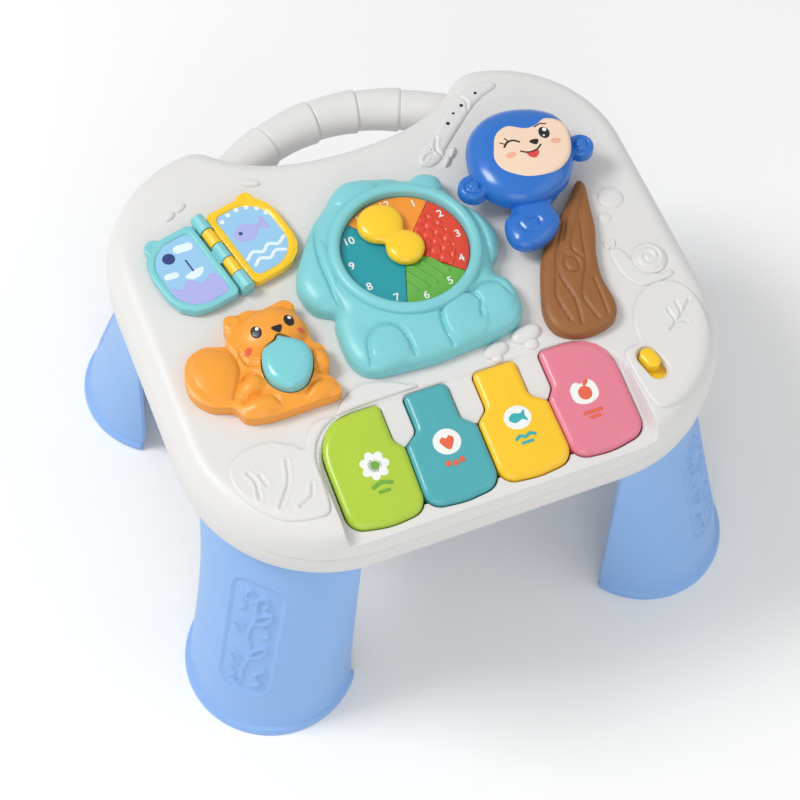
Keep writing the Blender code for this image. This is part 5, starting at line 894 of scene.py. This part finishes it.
def digits():
    """Plain figures 1 to 12 as thin raised prints, upright round the clock."""
    points, faces, total = [], [], 0
    for hour in range(1, 13):
        curve = bpy.data.curves.new("digit", "FONT")
        curve.body = str(hour)
        curve.size = 5.4
        curve.align_x, curve.align_y = "CENTER", "CENTER"
        curve.extrude = 0.06
        curve.offset = 0.05
        shown = bpy.data.objects.new("digit", curve)
        bpy.context.scene.collection.objects.link(shown)
        bpy.context.view_layer.update()
        mesh = bpy.data.meshes.new_from_object(shown.evaluated_get(bpy.context.evaluated_depsgraph_get()))
        place = np.zeros(len(mesh.vertices) * 3, np.float32)
        mesh.vertices.foreach_get("co", place)
        place = place.reshape(-1, 3).astype(float)
        angle = math.radians(90 - 30 * hour)
        place += (DIGIT_RADIUS * math.cos(angle), DIAL_Y + DIGIT_RADIUS * math.sin(angle), DIGIT_LEVEL)
        faces += [[v + total for v in face.vertices] for face in mesh.polygons]
        points.append(place)
        total += len(place)
        bpy.data.objects.remove(shown)
    return np.vstack(points), faces


piece("clock_numerals", digits(), ink_white, "table", sharp=30, slot="white_shell")

# Pointer: a glossy yellow knob of two lobes, hub and head, that turns without end on a shaft
# clipped below the clock.
lean = math.radians(112)
HEAD_OUT = 16.5
HEAD_SQUASH = 1.06
HUB_BLEND = 1.2
POINTER_LEVEL = 172.9
head = np.array((HEAD_OUT * math.cos(lean), DIAL_Y + HEAD_OUT * math.sin(lean)))


def pointer_gap(x, y):
    """Smooth union of the hub and the head."""
    hub = 8.8 - np.hypot(x, y - DIAL_Y)
    lobe = 10.6 - np.hypot(x - head[0], (y - head[1]) * HEAD_SQUASH)
    return HUB_BLEND * np.logaddexp(hub / HUB_BLEND, lobe / HUB_BLEND) - 0.2


def pointer_top(x, y):
    """Rounded edge plus the higher of the hub's and the head's shallow domes."""
    rise = np.maximum(dome(x, y, 0, DIAL_Y, 9.4, 9.4, 4.2), dome(x, y, *head, 11.4, 10.8, 4.9))
    return POINTER_LEVEL + quarter(pointer_gap(x, y), 2.2, 1.2) + 0.8 * rise


yellow = plastic("sun_yellow_plastic", (0.93, 0.58, 0.015), 0.25, 0.06, 0.2, 0.3)


def stem(node, x, y, radius, top):
    """Upright shaft from the node's lowest level up into its cap."""
    low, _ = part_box(node)
    return lofted(turned([(radius, low.z / MM), (radius, top)], x, y, 32), "fan")


knob = pressed((-18, 10.5, 0, 37.5), 0.45, pointer_gap, pointer_top, fixed(0.4), fixed(POINTER_LEVEL - 0.15))
piece("pointer_knob", merged([knob, stem("clock_pointer", 0, DIAL_Y, 3, POINTER_LEVEL + 1.1)]), yellow,
    "clock", "clock_pointer", slot="yellow")

# Squirrel: an orange moulding of tail, head, belly, paws and feet, screwed on from inside, round
# a turquoise nut that is pushed down on a spring.
SQUIRREL = flowing([(-88, 2.5), (-85.6, 6.7), (-81.2, 5.9), (-75.9, 6.8), (-70.1, 5), (-64.9, 5.6),
        (-59.2, 6.2), (-55.6, 2), (-57.2, -4.6), (-54.1, -9.8), (-54.4, -17.2), (-50.7, -21.6),
        (-51.2, -30.4), (-54, -34.8), (-51.6, -39.5), (-51.8, -45.6), (-63.5, -46), (-73.2, -46.3),
        (-84.9, -46), (-93.5, -43.6), (-97.4, -37), (-106.2, -33), (-111.8, -25), (-111.8, -15.5),
        (-107.4, -7.4), (-99.4, -4.6), (-91.2, -6.8), (-88.4, -2)], 5)
NUT = flowing([(-65.9, -14.2), (-68.6, -12.9), (-70.8, -14.8), (-77.0, -17.6), (-79.8, -25.6),
        (-78.6, -33.6), (-72.8, -38.9), (-65.6, -38.6), (-60, -33), (-57.8, -26), (-59.4, -19.6)], 6)


SQUIRREL_CREASES = [stroke(points) for points in ([(-91.4, -5), (-88.6, -12), (-88.4, -20), (-91, -26),
            (-95.4, -33)], [(-90.5, -27), (-86.6, -24.6), (-83.4, -24.6), (-81, -28.4)],
        [(-92, -36), (-86, -34.6), (-80, -36.5), (-77.6, -42)], [(-57, -36.6), (-62, -37.6), (-65.5, -41.5)],
        [(-85.8, -13), (-84.6, -18.5), (-80.6, -21)], [(-52.2, -34), (-56.4, -33.4), (-58.2, -31.4)])]


def melted(*heights, blend=0.9):
    """Highest of several heights with the joins melted together."""
    stack = np.stack([np.broadcast_to(h, np.shape(heights[0])) for h in heights]) / blend
    peak = stack.max(0)
    return blend * (peak + np.log(np.exp(stack - peak).sum(0)))


def squirrel_top(x, y):
    """Smooth maximum of a rounded slab and domes for tail, head, ears, belly, paws and feet, less
    Gaussian grooves and ear dimples."""
    d = within(x, y, SQUIRREL)
    z = melted(3.4 + quarter(d, 3.4, 3.2), 4.6 + dome(x, y, -101, -19.5, 13.5, 14.5, 6.4) * eased(d, 0, 4),
        5.2 + dome(x, y, -69.5, -8.2, 15.6, 12.8, 8.6), 4.4 + dome(x, y, -84, 2.5, 4.6, 4.6, 3.8),
        4.4 + dome(x, y, -59.8, 2.2, 4.6, 4.6, 3.8), 4.0 + dome(x, y, -70, -29, 17.5, 15, 5.6),
        4.2 + dome(x, y, -86, -30, 7.5, 5.2, 6.2, 25), 4.2 + dome(x, y, -54.6, -27.8, 4.8, 6.4, 6.0, 10),
        3.8 + dome(x, y, -84.5, -40.6, 9.5, 5.2, 5.8, -8), 3.8 + dome(x, y, -59.4, -41.8, 8.4, 4.6, 5.2, 8))
    crease = np.minimum.reduce([nearness(x, y, path) for path in SQUIRREL_CREASES])
    ears = np.minimum(np.hypot(x + 84.2, y - 2.6), np.hypot(x + 59.4, y - 2.2))
    return TOP + z - 1.0 * np.exp(-(crease / 0.9) ** 2) - 0.9 * np.exp(-(ears / 2.0) ** 2)


orange = plastic("orange_plastic", (0.88, 0.34, 0.035), 0.36, 0.07, 0.4)


def squirrel_room(x, y):
    """Inside the squirrel and outside the nut's well."""
    return np.minimum(within(x, y, SQUIRREL), -within(x, y, NUT) - 0.5)


piece("squirrel_moulding", pressed((-113, -50, -47.5, 8), 0.5, squirrel_room, squirrel_top, fixed(0.5),
        fixed(TOP + 0.3)), orange, "table", "squirrel_body", slot="orange")
for name, ink, slot, lift, shapes in (("eyes", ink_black, "dark", 0.05,
            [oval(-76.8, -8.6, 2.3, 3.0, 8), oval(-61.4, -7.6, 2.3, 3.0, -6)]),
        ("glints", pale_ink, "white_shell", 0.2,
            [oval(-76.0, -7.4, 0.85, 1.0), oval(-60.8, -6.4, 0.85, 1.0)]),
        ("nose", ink_black, "dark", 0.25, [patch([(-70.4, -9.6), (-67.8, -9.0), (-65.4, -9.4),
                    (-67.4, -12.4)])]), ("cheeks", coral_ink, "red", 0.05,
            [oval(-82.6, -14.2, 1.9, 1.4, 12), oval(-57.6, -12.8, 1.7, 1.3, -12)])):
    piece("squirrel_" + name, printed(shapes, lambda x, y, z=lift: squirrel_top(x, y) + z, 0.22, 0.3), ink,
        "table", slot=slot)


def nut_top(x, y):
    """Rounded edge and one shallow dome."""
    d = within(x, y, NUT)
    return TOP + 11.4 + quarter(d, 4.5, 2.8) + dome(x, y, -68.5, -27, 12, 12, 1.1)


nut_paint = plastic("nut_turquoise_plastic", (0.19, 0.585, 0.625), 0.26, 0.05, 0.2, 0.3)
cap = pressed((-81, -57, -41, -12), 0.4, inset_of(NUT), nut_top, fixed(0.4), fixed(TOP + 4))
piece("nut_cap", merged([cap, stem("nut_button", -69, -26, 4.2, TOP + 6)]), nut_paint, "nut", "nut_button",
    slot="turquoise")

# Monkey: a blue figure rocking on a pin, with a domed head over the body lobe, two ringed ears and
# a cream face plate let into the head.
MONKEY_HEAD = flowing([(44.2, 46), (49, 54.4), (58, 60.4), (69.4, 61.8), (81.6, 58.6), (90.6, 52),
        (93.6, 42.7), (92.4, 34), (88, 24.1), (80, 15.4), (66, 10.6), (53.8, 13), (45.2, 21), (41.9, 33)], 6)
MONKEY_BODY = flowing([(52.7, 12.6), (47.6, 8.2), (45.7, 0.2), (47.4, -6), (54.3, -9.0), (64.6, -6.2),
        (71.6, 0.8), (71.5, 10.4), (77.7, 15.5), (79.6, 23.8), (63.6, 29.6), (54.6, 22.6)], 5)
MONKEY_EARS = ((40.0, 27.8, 6.9), (95.4, 32.6, 6.2))


def head_room(x, y):
    """Union of the head and both ears, melted at the joins."""
    parts = [within(x, y, MONKEY_HEAD)] + [r - np.hypot(x - ex, y - ey) for ex, ey, r in MONKEY_EARS]
    return 0.5 * np.logaddexp.reduce([d / 0.5 for d in parts])


def head_top(x, y):
    """Higher of the head's rounded cap and the ears' ringed domes, with a rounded outer edge."""
    z = 14.5 + quarter(within(x, y, MONKEY_HEAD), 12.5, 8.2)
    ears = [14.2 + dome(x, y, ex, ey, r + 0.6, r + 0.6, 3.8)
        - 1.5 * np.exp(-((np.hypot(x - ex, y - ey) - 3.4) / 1.1) ** 2) for ex, ey, r in MONKEY_EARS]
    edge = head_room(x, y)
    return (TOP + np.maximum(np.where(within(x, y, MONKEY_HEAD) > 0, z, 0), np.maximum(*ears))
            - np.where(edge < 1.2, 1.3 - quarter(edge, 1.2, 1.3), 0))


blue = plastic("royal_blue_plastic", (0.018, 0.155, 0.56), 0.27, 0.06, 0.3, 0.25)
piece("monkey_head_moulding", pressed((32, 102.5, 10, 62.5), 0.5, head_room, head_top, fixed(0.5),
        fixed(TOP + 11.2)), blue, "monkey", "monkey_body", slot="blue")
SWIRL = stroke([(52, 3), (54, -1.5), (58.5, -2.5), (61.5, 0.5), (60.5, 4), (57.5, 4.5)])


def belly_top(x, y):
    """Rounded edge less a curled groove."""
    d = within(x, y, MONKEY_BODY)
    return TOP + 10.2 + quarter(d, 8, 5) - 0.9 * np.exp(-(nearness(x, y, SWIRL) / 0.9) ** 2)


piece("monkey_belly_moulding", pressed((45, 80.5, -10.5, 30.5), 0.5, inset_of(MONKEY_BODY), belly_top,
        fixed(0.5), fixed(TOP + 8.2)), blue, "monkey", slot="blue")
FACE = flowing([(53.4, 40.4), (57.6, 47.6), (65.2, 50.6), (74, 46.4), (83.4, 48.4), (90.4, 43.2), (90, 33.7),
                (85.8, 25.2), (77.2, 19.8), (63.6, 19.4), (54.2, 25.4), (51.4, 33)], 6)


def face_top(x, y):
    """Rounded edge and a slight crown eased in from it."""
    return TOP + 20.9 + quarter(within(x, y, FACE), 2.0, 1.9) + 0.5 * eased(within(x, y, FACE), 1, 12)


skin = plastic("cream_plastic", (0.86, 0.65, 0.49), 0.42, 0.05, 0.4)
piece("monkey_face_plate", pressed((50.5, 91.5, 18.5, 51.5), 0.45, inset_of(FACE), face_top, fixed(0.4),
        fixed(TOP + 21)), skin, "monkey", "monkey_face", slot="skin")

red_ink = plastic("mouth_red_print", (0.70, 0.06, 0.05), 0.4, 0.03, 0.2)
blush_ink = plastic("blush_print", (0.84, 0.42, 0.30), 0.45, 0.03, 0.2)
for name, ink, slot, lift, shapes in (("brows", ink_black, "dark", 0.02,
            [line([(76.6, 44.6), (79.6, 45.4), (82.2, 44.4)], 0.7)]),
        ("wink", ink_black, "dark", 0.02, [line([(59.2, 38.6), (61.4, 40.5), (64.2, 40.6), (66.6, 38.9)],
                    1.0), line([(60.0, 40.0), (58.2, 41.4)], 0.6), line([(61.9, 41.2), (61.1, 43)], 0.6)]),
        ("eye", ink_black, "dark", 0.02, [oval(79.4, 40.0, 2.5, 3.4, -6)]),
        ("glint", pale_ink, "white_shell", 0.2, [oval(80.2, 41.5, 0.95, 1.1), oval(78.6, 38.4, 0.5, 0.5)]),
        ("nose", ink_black, "dark", 0.02, [patch([(70.8, 37.4), (73.2, 38.2), (75.4, 37.2), (73.4, 34.9)])]),
        ("mouth", red_ink, "red", 0.02, [patch([(67.4, 32.4), (70.2, 31.9), (73.0, 32.6), (72.4, 29.8),
                    (70, 28.4), (67.8, 29.9)])]), ("smile", ink_black, "dark", 0.1,
            [line([(65.2, 33.8), (67.4, 32.4), (70.2, 31.9), (73.0, 32.6), (75.2, 34.2)], 0.75)]),
        ("cheeks", blush_ink, "skin", 0.01, [oval(60.2, 33.4, 2.5, 1.6, 6),
                oval(82.6, 34.0, 2.5, 1.6, -6)])):
    piece("monkey_" + name, printed(shapes, lambda x, y, z=lift: face_top(x, y) + z, 0.2, 0.1), ink,
        "monkey", slot=slot)

# Tree trunk: a brown moulding that widens from a pointed top to the foot, with long grain grooves
# and one knot.
TRUNK = flowing([(89.6, 21.4), (92.6, 18.9), (90.3, 8.1), (87.1, -5.2), (82, -17.5), (79, -30.3),
        (79.2, -44), (75.3, -51.7), (64.9, -54.8), (54.7, -53.2), (48, -47.6), (47, -38.4), (50.8, -26.5),
        (58.5, -10), (68.3, 0.8), (81.5, 13)], 5)
GRAIN = [stroke(line) for line in ([(88.5, 14), (83, 4), (76, -4), (72, -13), (75, -20), (71, -28),
            (66, -38), (68, -50)], [(84, 7), (79, -8), (75.5, -20)],
        [(74, 3), (66, -9), (60, -22), (55, -34), (56, -47)],
        [(67.5, -14.8), (71.5, -18.8), (70, -24), (66, -23), (65.5, -18.5), (67.5, -14.8)],
        [(62, -17), (61, -26), (62, -38), (60, -50)], [(75, -30), (74, -40), (73, -49)],
        [(80, 10), (74, 0), (70, -7)])]


def trunk_top(x, y):
    """Rounded edge and an eased crown, less Gaussian grain grooves that fade at the edge."""
    d = within(x, y, TRUNK)
    groove = np.minimum.reduce([nearness(x, y, line) for line in GRAIN])
    return (TOP + 3.6 + quarter(d, 4.2, 3.2) + 0.7 * eased(d, 3, 14)
            - 0.9 * np.exp(-(groove / 0.75) ** 2) * eased(d, 0.5, 3))


brown = plastic("bark_brown_plastic", (0.30, 0.115, 0.03), 0.48, 0.16, 0.6)
piece("trunk_moulding", pressed((46, 93.5, -56, 22.5), 0.45, inset_of(TRUNK), trunk_top, fixed(0.5),
                                        fixed(TOP + 0.3)), brown, "table", "tree_trunk", slot="brown")

# Book: two leaves that turn on one slanting rod between end posts, each a coloured frame with an
# ear tab round a sunk page of printed shapes.
SPINE = np.array((-75.5, 39.5))
spine_turn = math.radians(12.8)


def on_spine(points):
    """Book-frame points, across and along the spine, as plan points."""
    p = np.atleast_2d(np.array(points, float))
    c, s = math.cos(spine_turn), math.sin(spine_turn)
    return np.stack((SPINE[0] + p[:, 0] * c - p[:, 1] * s, SPINE[1] + p[:, 0] * s + p[:, 1] * c), 1)


def both_sides(shape, middle, ring):
    """An open moulding and its mirror image below a level, welded along their shared last ring."""
    points, faces = shape
    total = len(points)
    match = np.arange(total) + total
    match[total - ring:] = np.arange(total - ring, total)
    mirrored = points[:total - ring] * (1, 1, -1) + (0, 0, 2 * middle)
    return np.vstack((points, mirrored)), faces + [[match[v] for v in face[::-1]] for face in faces]


def leaf_outline(side, grow):
    """Plan of a leaf moved in by grow: small corners at the spine and wide ones outside."""
    corners = ((3.8 + grow, -21.2 + grow, 3.5), (32.5 - grow, -21.2 + grow, 17),
        (32.5 - grow, 21.2 - grow, 17), (3.8 + grow, 21.2 - grow, 3.5))
    return rounded([(*on_spine((side * a, b))[0], r) for a, b, r in corners], 10)


MID_LEAF = 164.0
PAGE_LEVEL = 165.46
LEAF_TOP = 165.4
LEAF_PROUD = 0.3
paints = {"left": (turquoise, "turquoise", -1), "right": (yellow, "yellow", 1)}
sky_ink = plastic("sky_print", (0.30, 0.56, 0.80), 0.32, 0.05, 0.2)
lilac_ink = plastic("lilac_print", (0.40, 0.42, 0.78), 0.32, 0.05, 0.2)
paper_ink = plastic("paper_print", (0.72, 0.84, 0.90), 0.32, 0.05, 0.2)
night_ink = plastic("night_print", (0.03, 0.05, 0.20), 0.32, 0.05, 0.2)


def on_page(side, points):
    """Page points, across from the spine and along it, as plan points."""
    return [tuple(on_spine((side * across, along))[0]) for across, along in points]


def page_spot(side, across, along, rx, ry=None, turn=0.0):
    """Ellipse on a page, turned with the spine."""
    x, y = on_spine((side * across, along))[0]
    return oval(x, y, rx, ry or rx, math.degrees(spine_turn) + turn)


MOTIFS = {"left": {"hills": (lilac_ink, 0.12,
            [patch(on_page(-1, [(7.4, -17.2), (14, -18), (22, -17.6), (28, -12), (29, -3), (25, -6),
                (20, -3.4), (15, -8), (10, -5.5), (7.2, -9)]))]),
        "clouds": (paper_ink, 0.12, [line(on_page(-1, [(10.6, 11.8), (15.4, 12.8)]), 4.2),
                line(on_page(-1, [(23.2, 1.8), (26.6, 2.6)]), 3.2),
                patch(on_page(-1, [(11, -0.6), (19.6, -1), (18, -4.2), (13, -4)]))]),
        "sun": (night_ink, 0.14, [page_spot(-1, 21.4, 10.6, 2.9),
                line(on_page(-1, [(15.4, -0.8), (15.4, 6)]), 0.8)])},
    "right": {"waves": (paper_ink, 0.12, [line(on_page(1,
                [(8, -8.6), (12, -6.4), (16, -8.6), (20, -6.4), (24, -8.6), (28, -6.6)]), 1.6),
                line(on_page(1, [(9.4, -13), (13, -11), (17, -13), (21, -11), (25, -13)]), 1.6)]
            + [page_spot(1, a, b, 1.15) for a, b in ((9, 14.6), (13.2, 16.4), (17.8, 16.8), (22.4, 15.6),
                (26.2, 12.6), (28.4, 8.4))]), "fish": (lilac_ink, 0.12,
            [patch(on_page(1, [(9, 4), (12, 8), (17, 8.6), (21.4, 5.4), (25, 8.6), (25.4, 0.6), (21.4, 2.8),
                (17, -0.6), (12, 0)]))]), "fish_eye": (night_ink, 0.26, [page_spot(1, 12.6, 4.8, 0.95)])}}
for name, (paint, slot, side) in paints.items():
    rim, page = leaf_outline(side, -LEAF_PROUD), leaf_outline(side, 2.6)
    tab = on_spine((side * 24, 19.1))[0]

    def leaf_room(x, y, rim=rim, tab=tab):
        """Smooth union of the leaf and its round ear tab."""
        return 0.4 * np.logaddexp(within(x, y, rim) / 0.4, (4.2 - np.hypot(x - tab[0], y - tab[1])) / 0.4)

    def leaf_top(x, y, room=leaf_room, page=page, tab=tab):
        """Frame with a rounded edge, stepped down to the page and dimpled at the tab."""
        button = 0.7 * np.exp(-(np.hypot(x - tab[0], y - tab[1]) / 1.9) ** 2)
        return LEAF_TOP + quarter(room(x, y), 0.9, 0.85) - 0.8 * eased(within(x, y, page), -0.45,
            0.45) - button

    low, high = np.minimum(rim.min(0), tab - 4.4) - 1, np.maximum(rim.max(0), tab + 4.4) + 1
    points, faces = pressed((low[0], high[0], low[1], high[1]), 0.45, leaf_room, leaf_top, fixed(0.3),
        fixed(MID_LEAF), False)
    piece("book_frame_" + name, both_sides((points, faces), MID_LEAF, int((points[:, 2] == MID_LEAF).sum())),
                 paint, "leaf_%s_part" % name, slot=slot)
    sheets = {"paper": (sky_ink, 0.02, [((lambda x, y, page=page: within(x, y, page) - 0.5),
                    (*rim.mean(0), 26.0))])}
    for part, (ink, lift, shapes) in (sheets | MOTIFS[name]).items():
        room = printed(shapes, fixed(PAGE_LEVEL + lift), 0.35 if lift > 0.1 else 0.6, 0.1)
        under = (room[0] * (1, 1, -1) + (0, 0, 2 * MID_LEAF), [face[::-1] for face in room[1]])
        piece("book_%s_%s" % (name, part), merged((room, under)), ink, "leaf_%s_part" % name, slot=slot)

# Slide switch: a small yellow thumb that rides in a slot of the tray, over the slider of the
# electrical switch below.
OVAL = switch_oval(3.5, 5.3, 2.0)


def thumb_top(x, y):
    """Level top with a quarter-round edge."""
    return TOP + 2.4 + quarter(within(x, y, OVAL), 2.4, 1.3)


low, high = OVAL.min(0) - 1, OVAL.max(0) + 1
piece("switch_thumb", pressed((low[0], high[0], low[1], high[1]), 0.35, inset_of(OVAL), thumb_top,
        fixed(0.3), fixed(TOP - 1.5)), yellow, "switch", slot="yellow")
repaint(yellow, "switch_knob")

# Inner parts: steel rods, springs, screws and contacts, the lacquered board, speaker, cells and
# leads keep their modelled shapes and get finished materials.
steel = plastic("brushed_steel", (0.56, 0.56, 0.57), 0.3, 0.1, 0.3)
steel.node_tree.nodes["Principled BSDF"].inputs["Metallic"].default_value = 1.0
repaint(steel, *[name for name in nodes if name.startswith(("case_screw", "figure_screw", "key_spring",
                "battery_contact"))], "door_screw", "nut_spring", "pointer_clip", "monkey_pin", "key_rod",
    "book_rod", "switch_body")
repaint(plastic("board_green_lacquer", (0.02, 0.19, 0.06), 0.35, 0.1, 0.3), "circuit_board")
repaint(plastic("dark_plastic", (0.035, 0.035, 0.04), 0.45, 0.1, 0.4), "speaker", "battery_left",
    "battery_right", "lead_wire_battery")
repaint(plastic("red_insulation", (0.55, 0.03, 0.03), 0.45, 0.1, 0.3), "lead_wire_speaker")
repaint(turquoise, "book_bracket", "leaf_left")
repaint(yellow, "leaf_right")

# Studio: a plain pale floor, one key light from behind on the left with two weak fills, and a
# camera at the photo's viewpoint, fitted to landmarks.
floor = bpy.data.meshes.new("floor")
FLOOR = 3
floor.from_pydata([(-FLOOR, -FLOOR, 0), (FLOOR, -FLOOR, 0), (FLOOR, FLOOR, 0), (-FLOOR, FLOOR, 0)], [],
                  [(0, 1, 2, 3)])
ground = bpy.data.objects.new("floor", floor)
bpy.context.scene.collection.objects.link(ground)
paper = bpy.data.materials.new("paper_floor")
paper.use_nodes = True
shader = paper.node_tree.nodes["Principled BSDF"]
shader.inputs["Base Color"].default_value = (0.93, 0.93, 0.92, 1)
shader.inputs["Roughness"].default_value = 0.95
floor.materials.append(paper)
for name, place, size, power in (("key_light", (-1.0, 0.45, 1.5), 0.6, 17),
        ("fill_light", (1.1, -0.9, 1.1), 1.3, 4), ("front_light", (-0.5, -1.4, 0.9), 1.0, 5)):
    lamp = bpy.data.lights.new(name, "AREA")
    lamp.size = size
    lamp.energy = power
    made = bpy.data.objects.new(name, lamp)
    made.location = place
    aim = np.array((0, 0, 0.12)) - np.array(place)
    made.rotation_euler = (math.atan2(math.hypot(aim[0], aim[1]), -aim[2]), 0,
        math.atan2(aim[1], aim[0]) - math.pi / 2)
    bpy.context.scene.collection.objects.link(made)
world = bpy.data.worlds.new("studio")
world.use_nodes = True
world.node_tree.nodes["Background"].inputs["Color"].default_value = (1, 1, 1, 1)
world.node_tree.nodes["Background"].inputs["Strength"].default_value = 0.55
bpy.context.scene.world = world
bpy.context.scene.view_settings.view_transform = "Standard"

lens = bpy.data.cameras.new("camera")
lens.lens = 88
lens.sensor_width = 36
camera = bpy.data.objects.new("camera", lens)
spot = np.array((-0.2122, -0.4240, 0.8944))
ahead = np.array((-0.0076, -0.0124, 0.080)) - spot
ahead /= np.linalg.norm(ahead)
right = np.cross(ahead, (0.3045, 0.8180, 0.4880))
right /= np.linalg.norm(right)
axes = np.stack((right, np.cross(right, ahead), -ahead, spot), 1)
camera.matrix_world = Matrix([*axes.tolist(), [0, 0, 0, 1]])
bpy.context.scene.collection.objects.link(camera)
bpy.context.scene.camera = camera
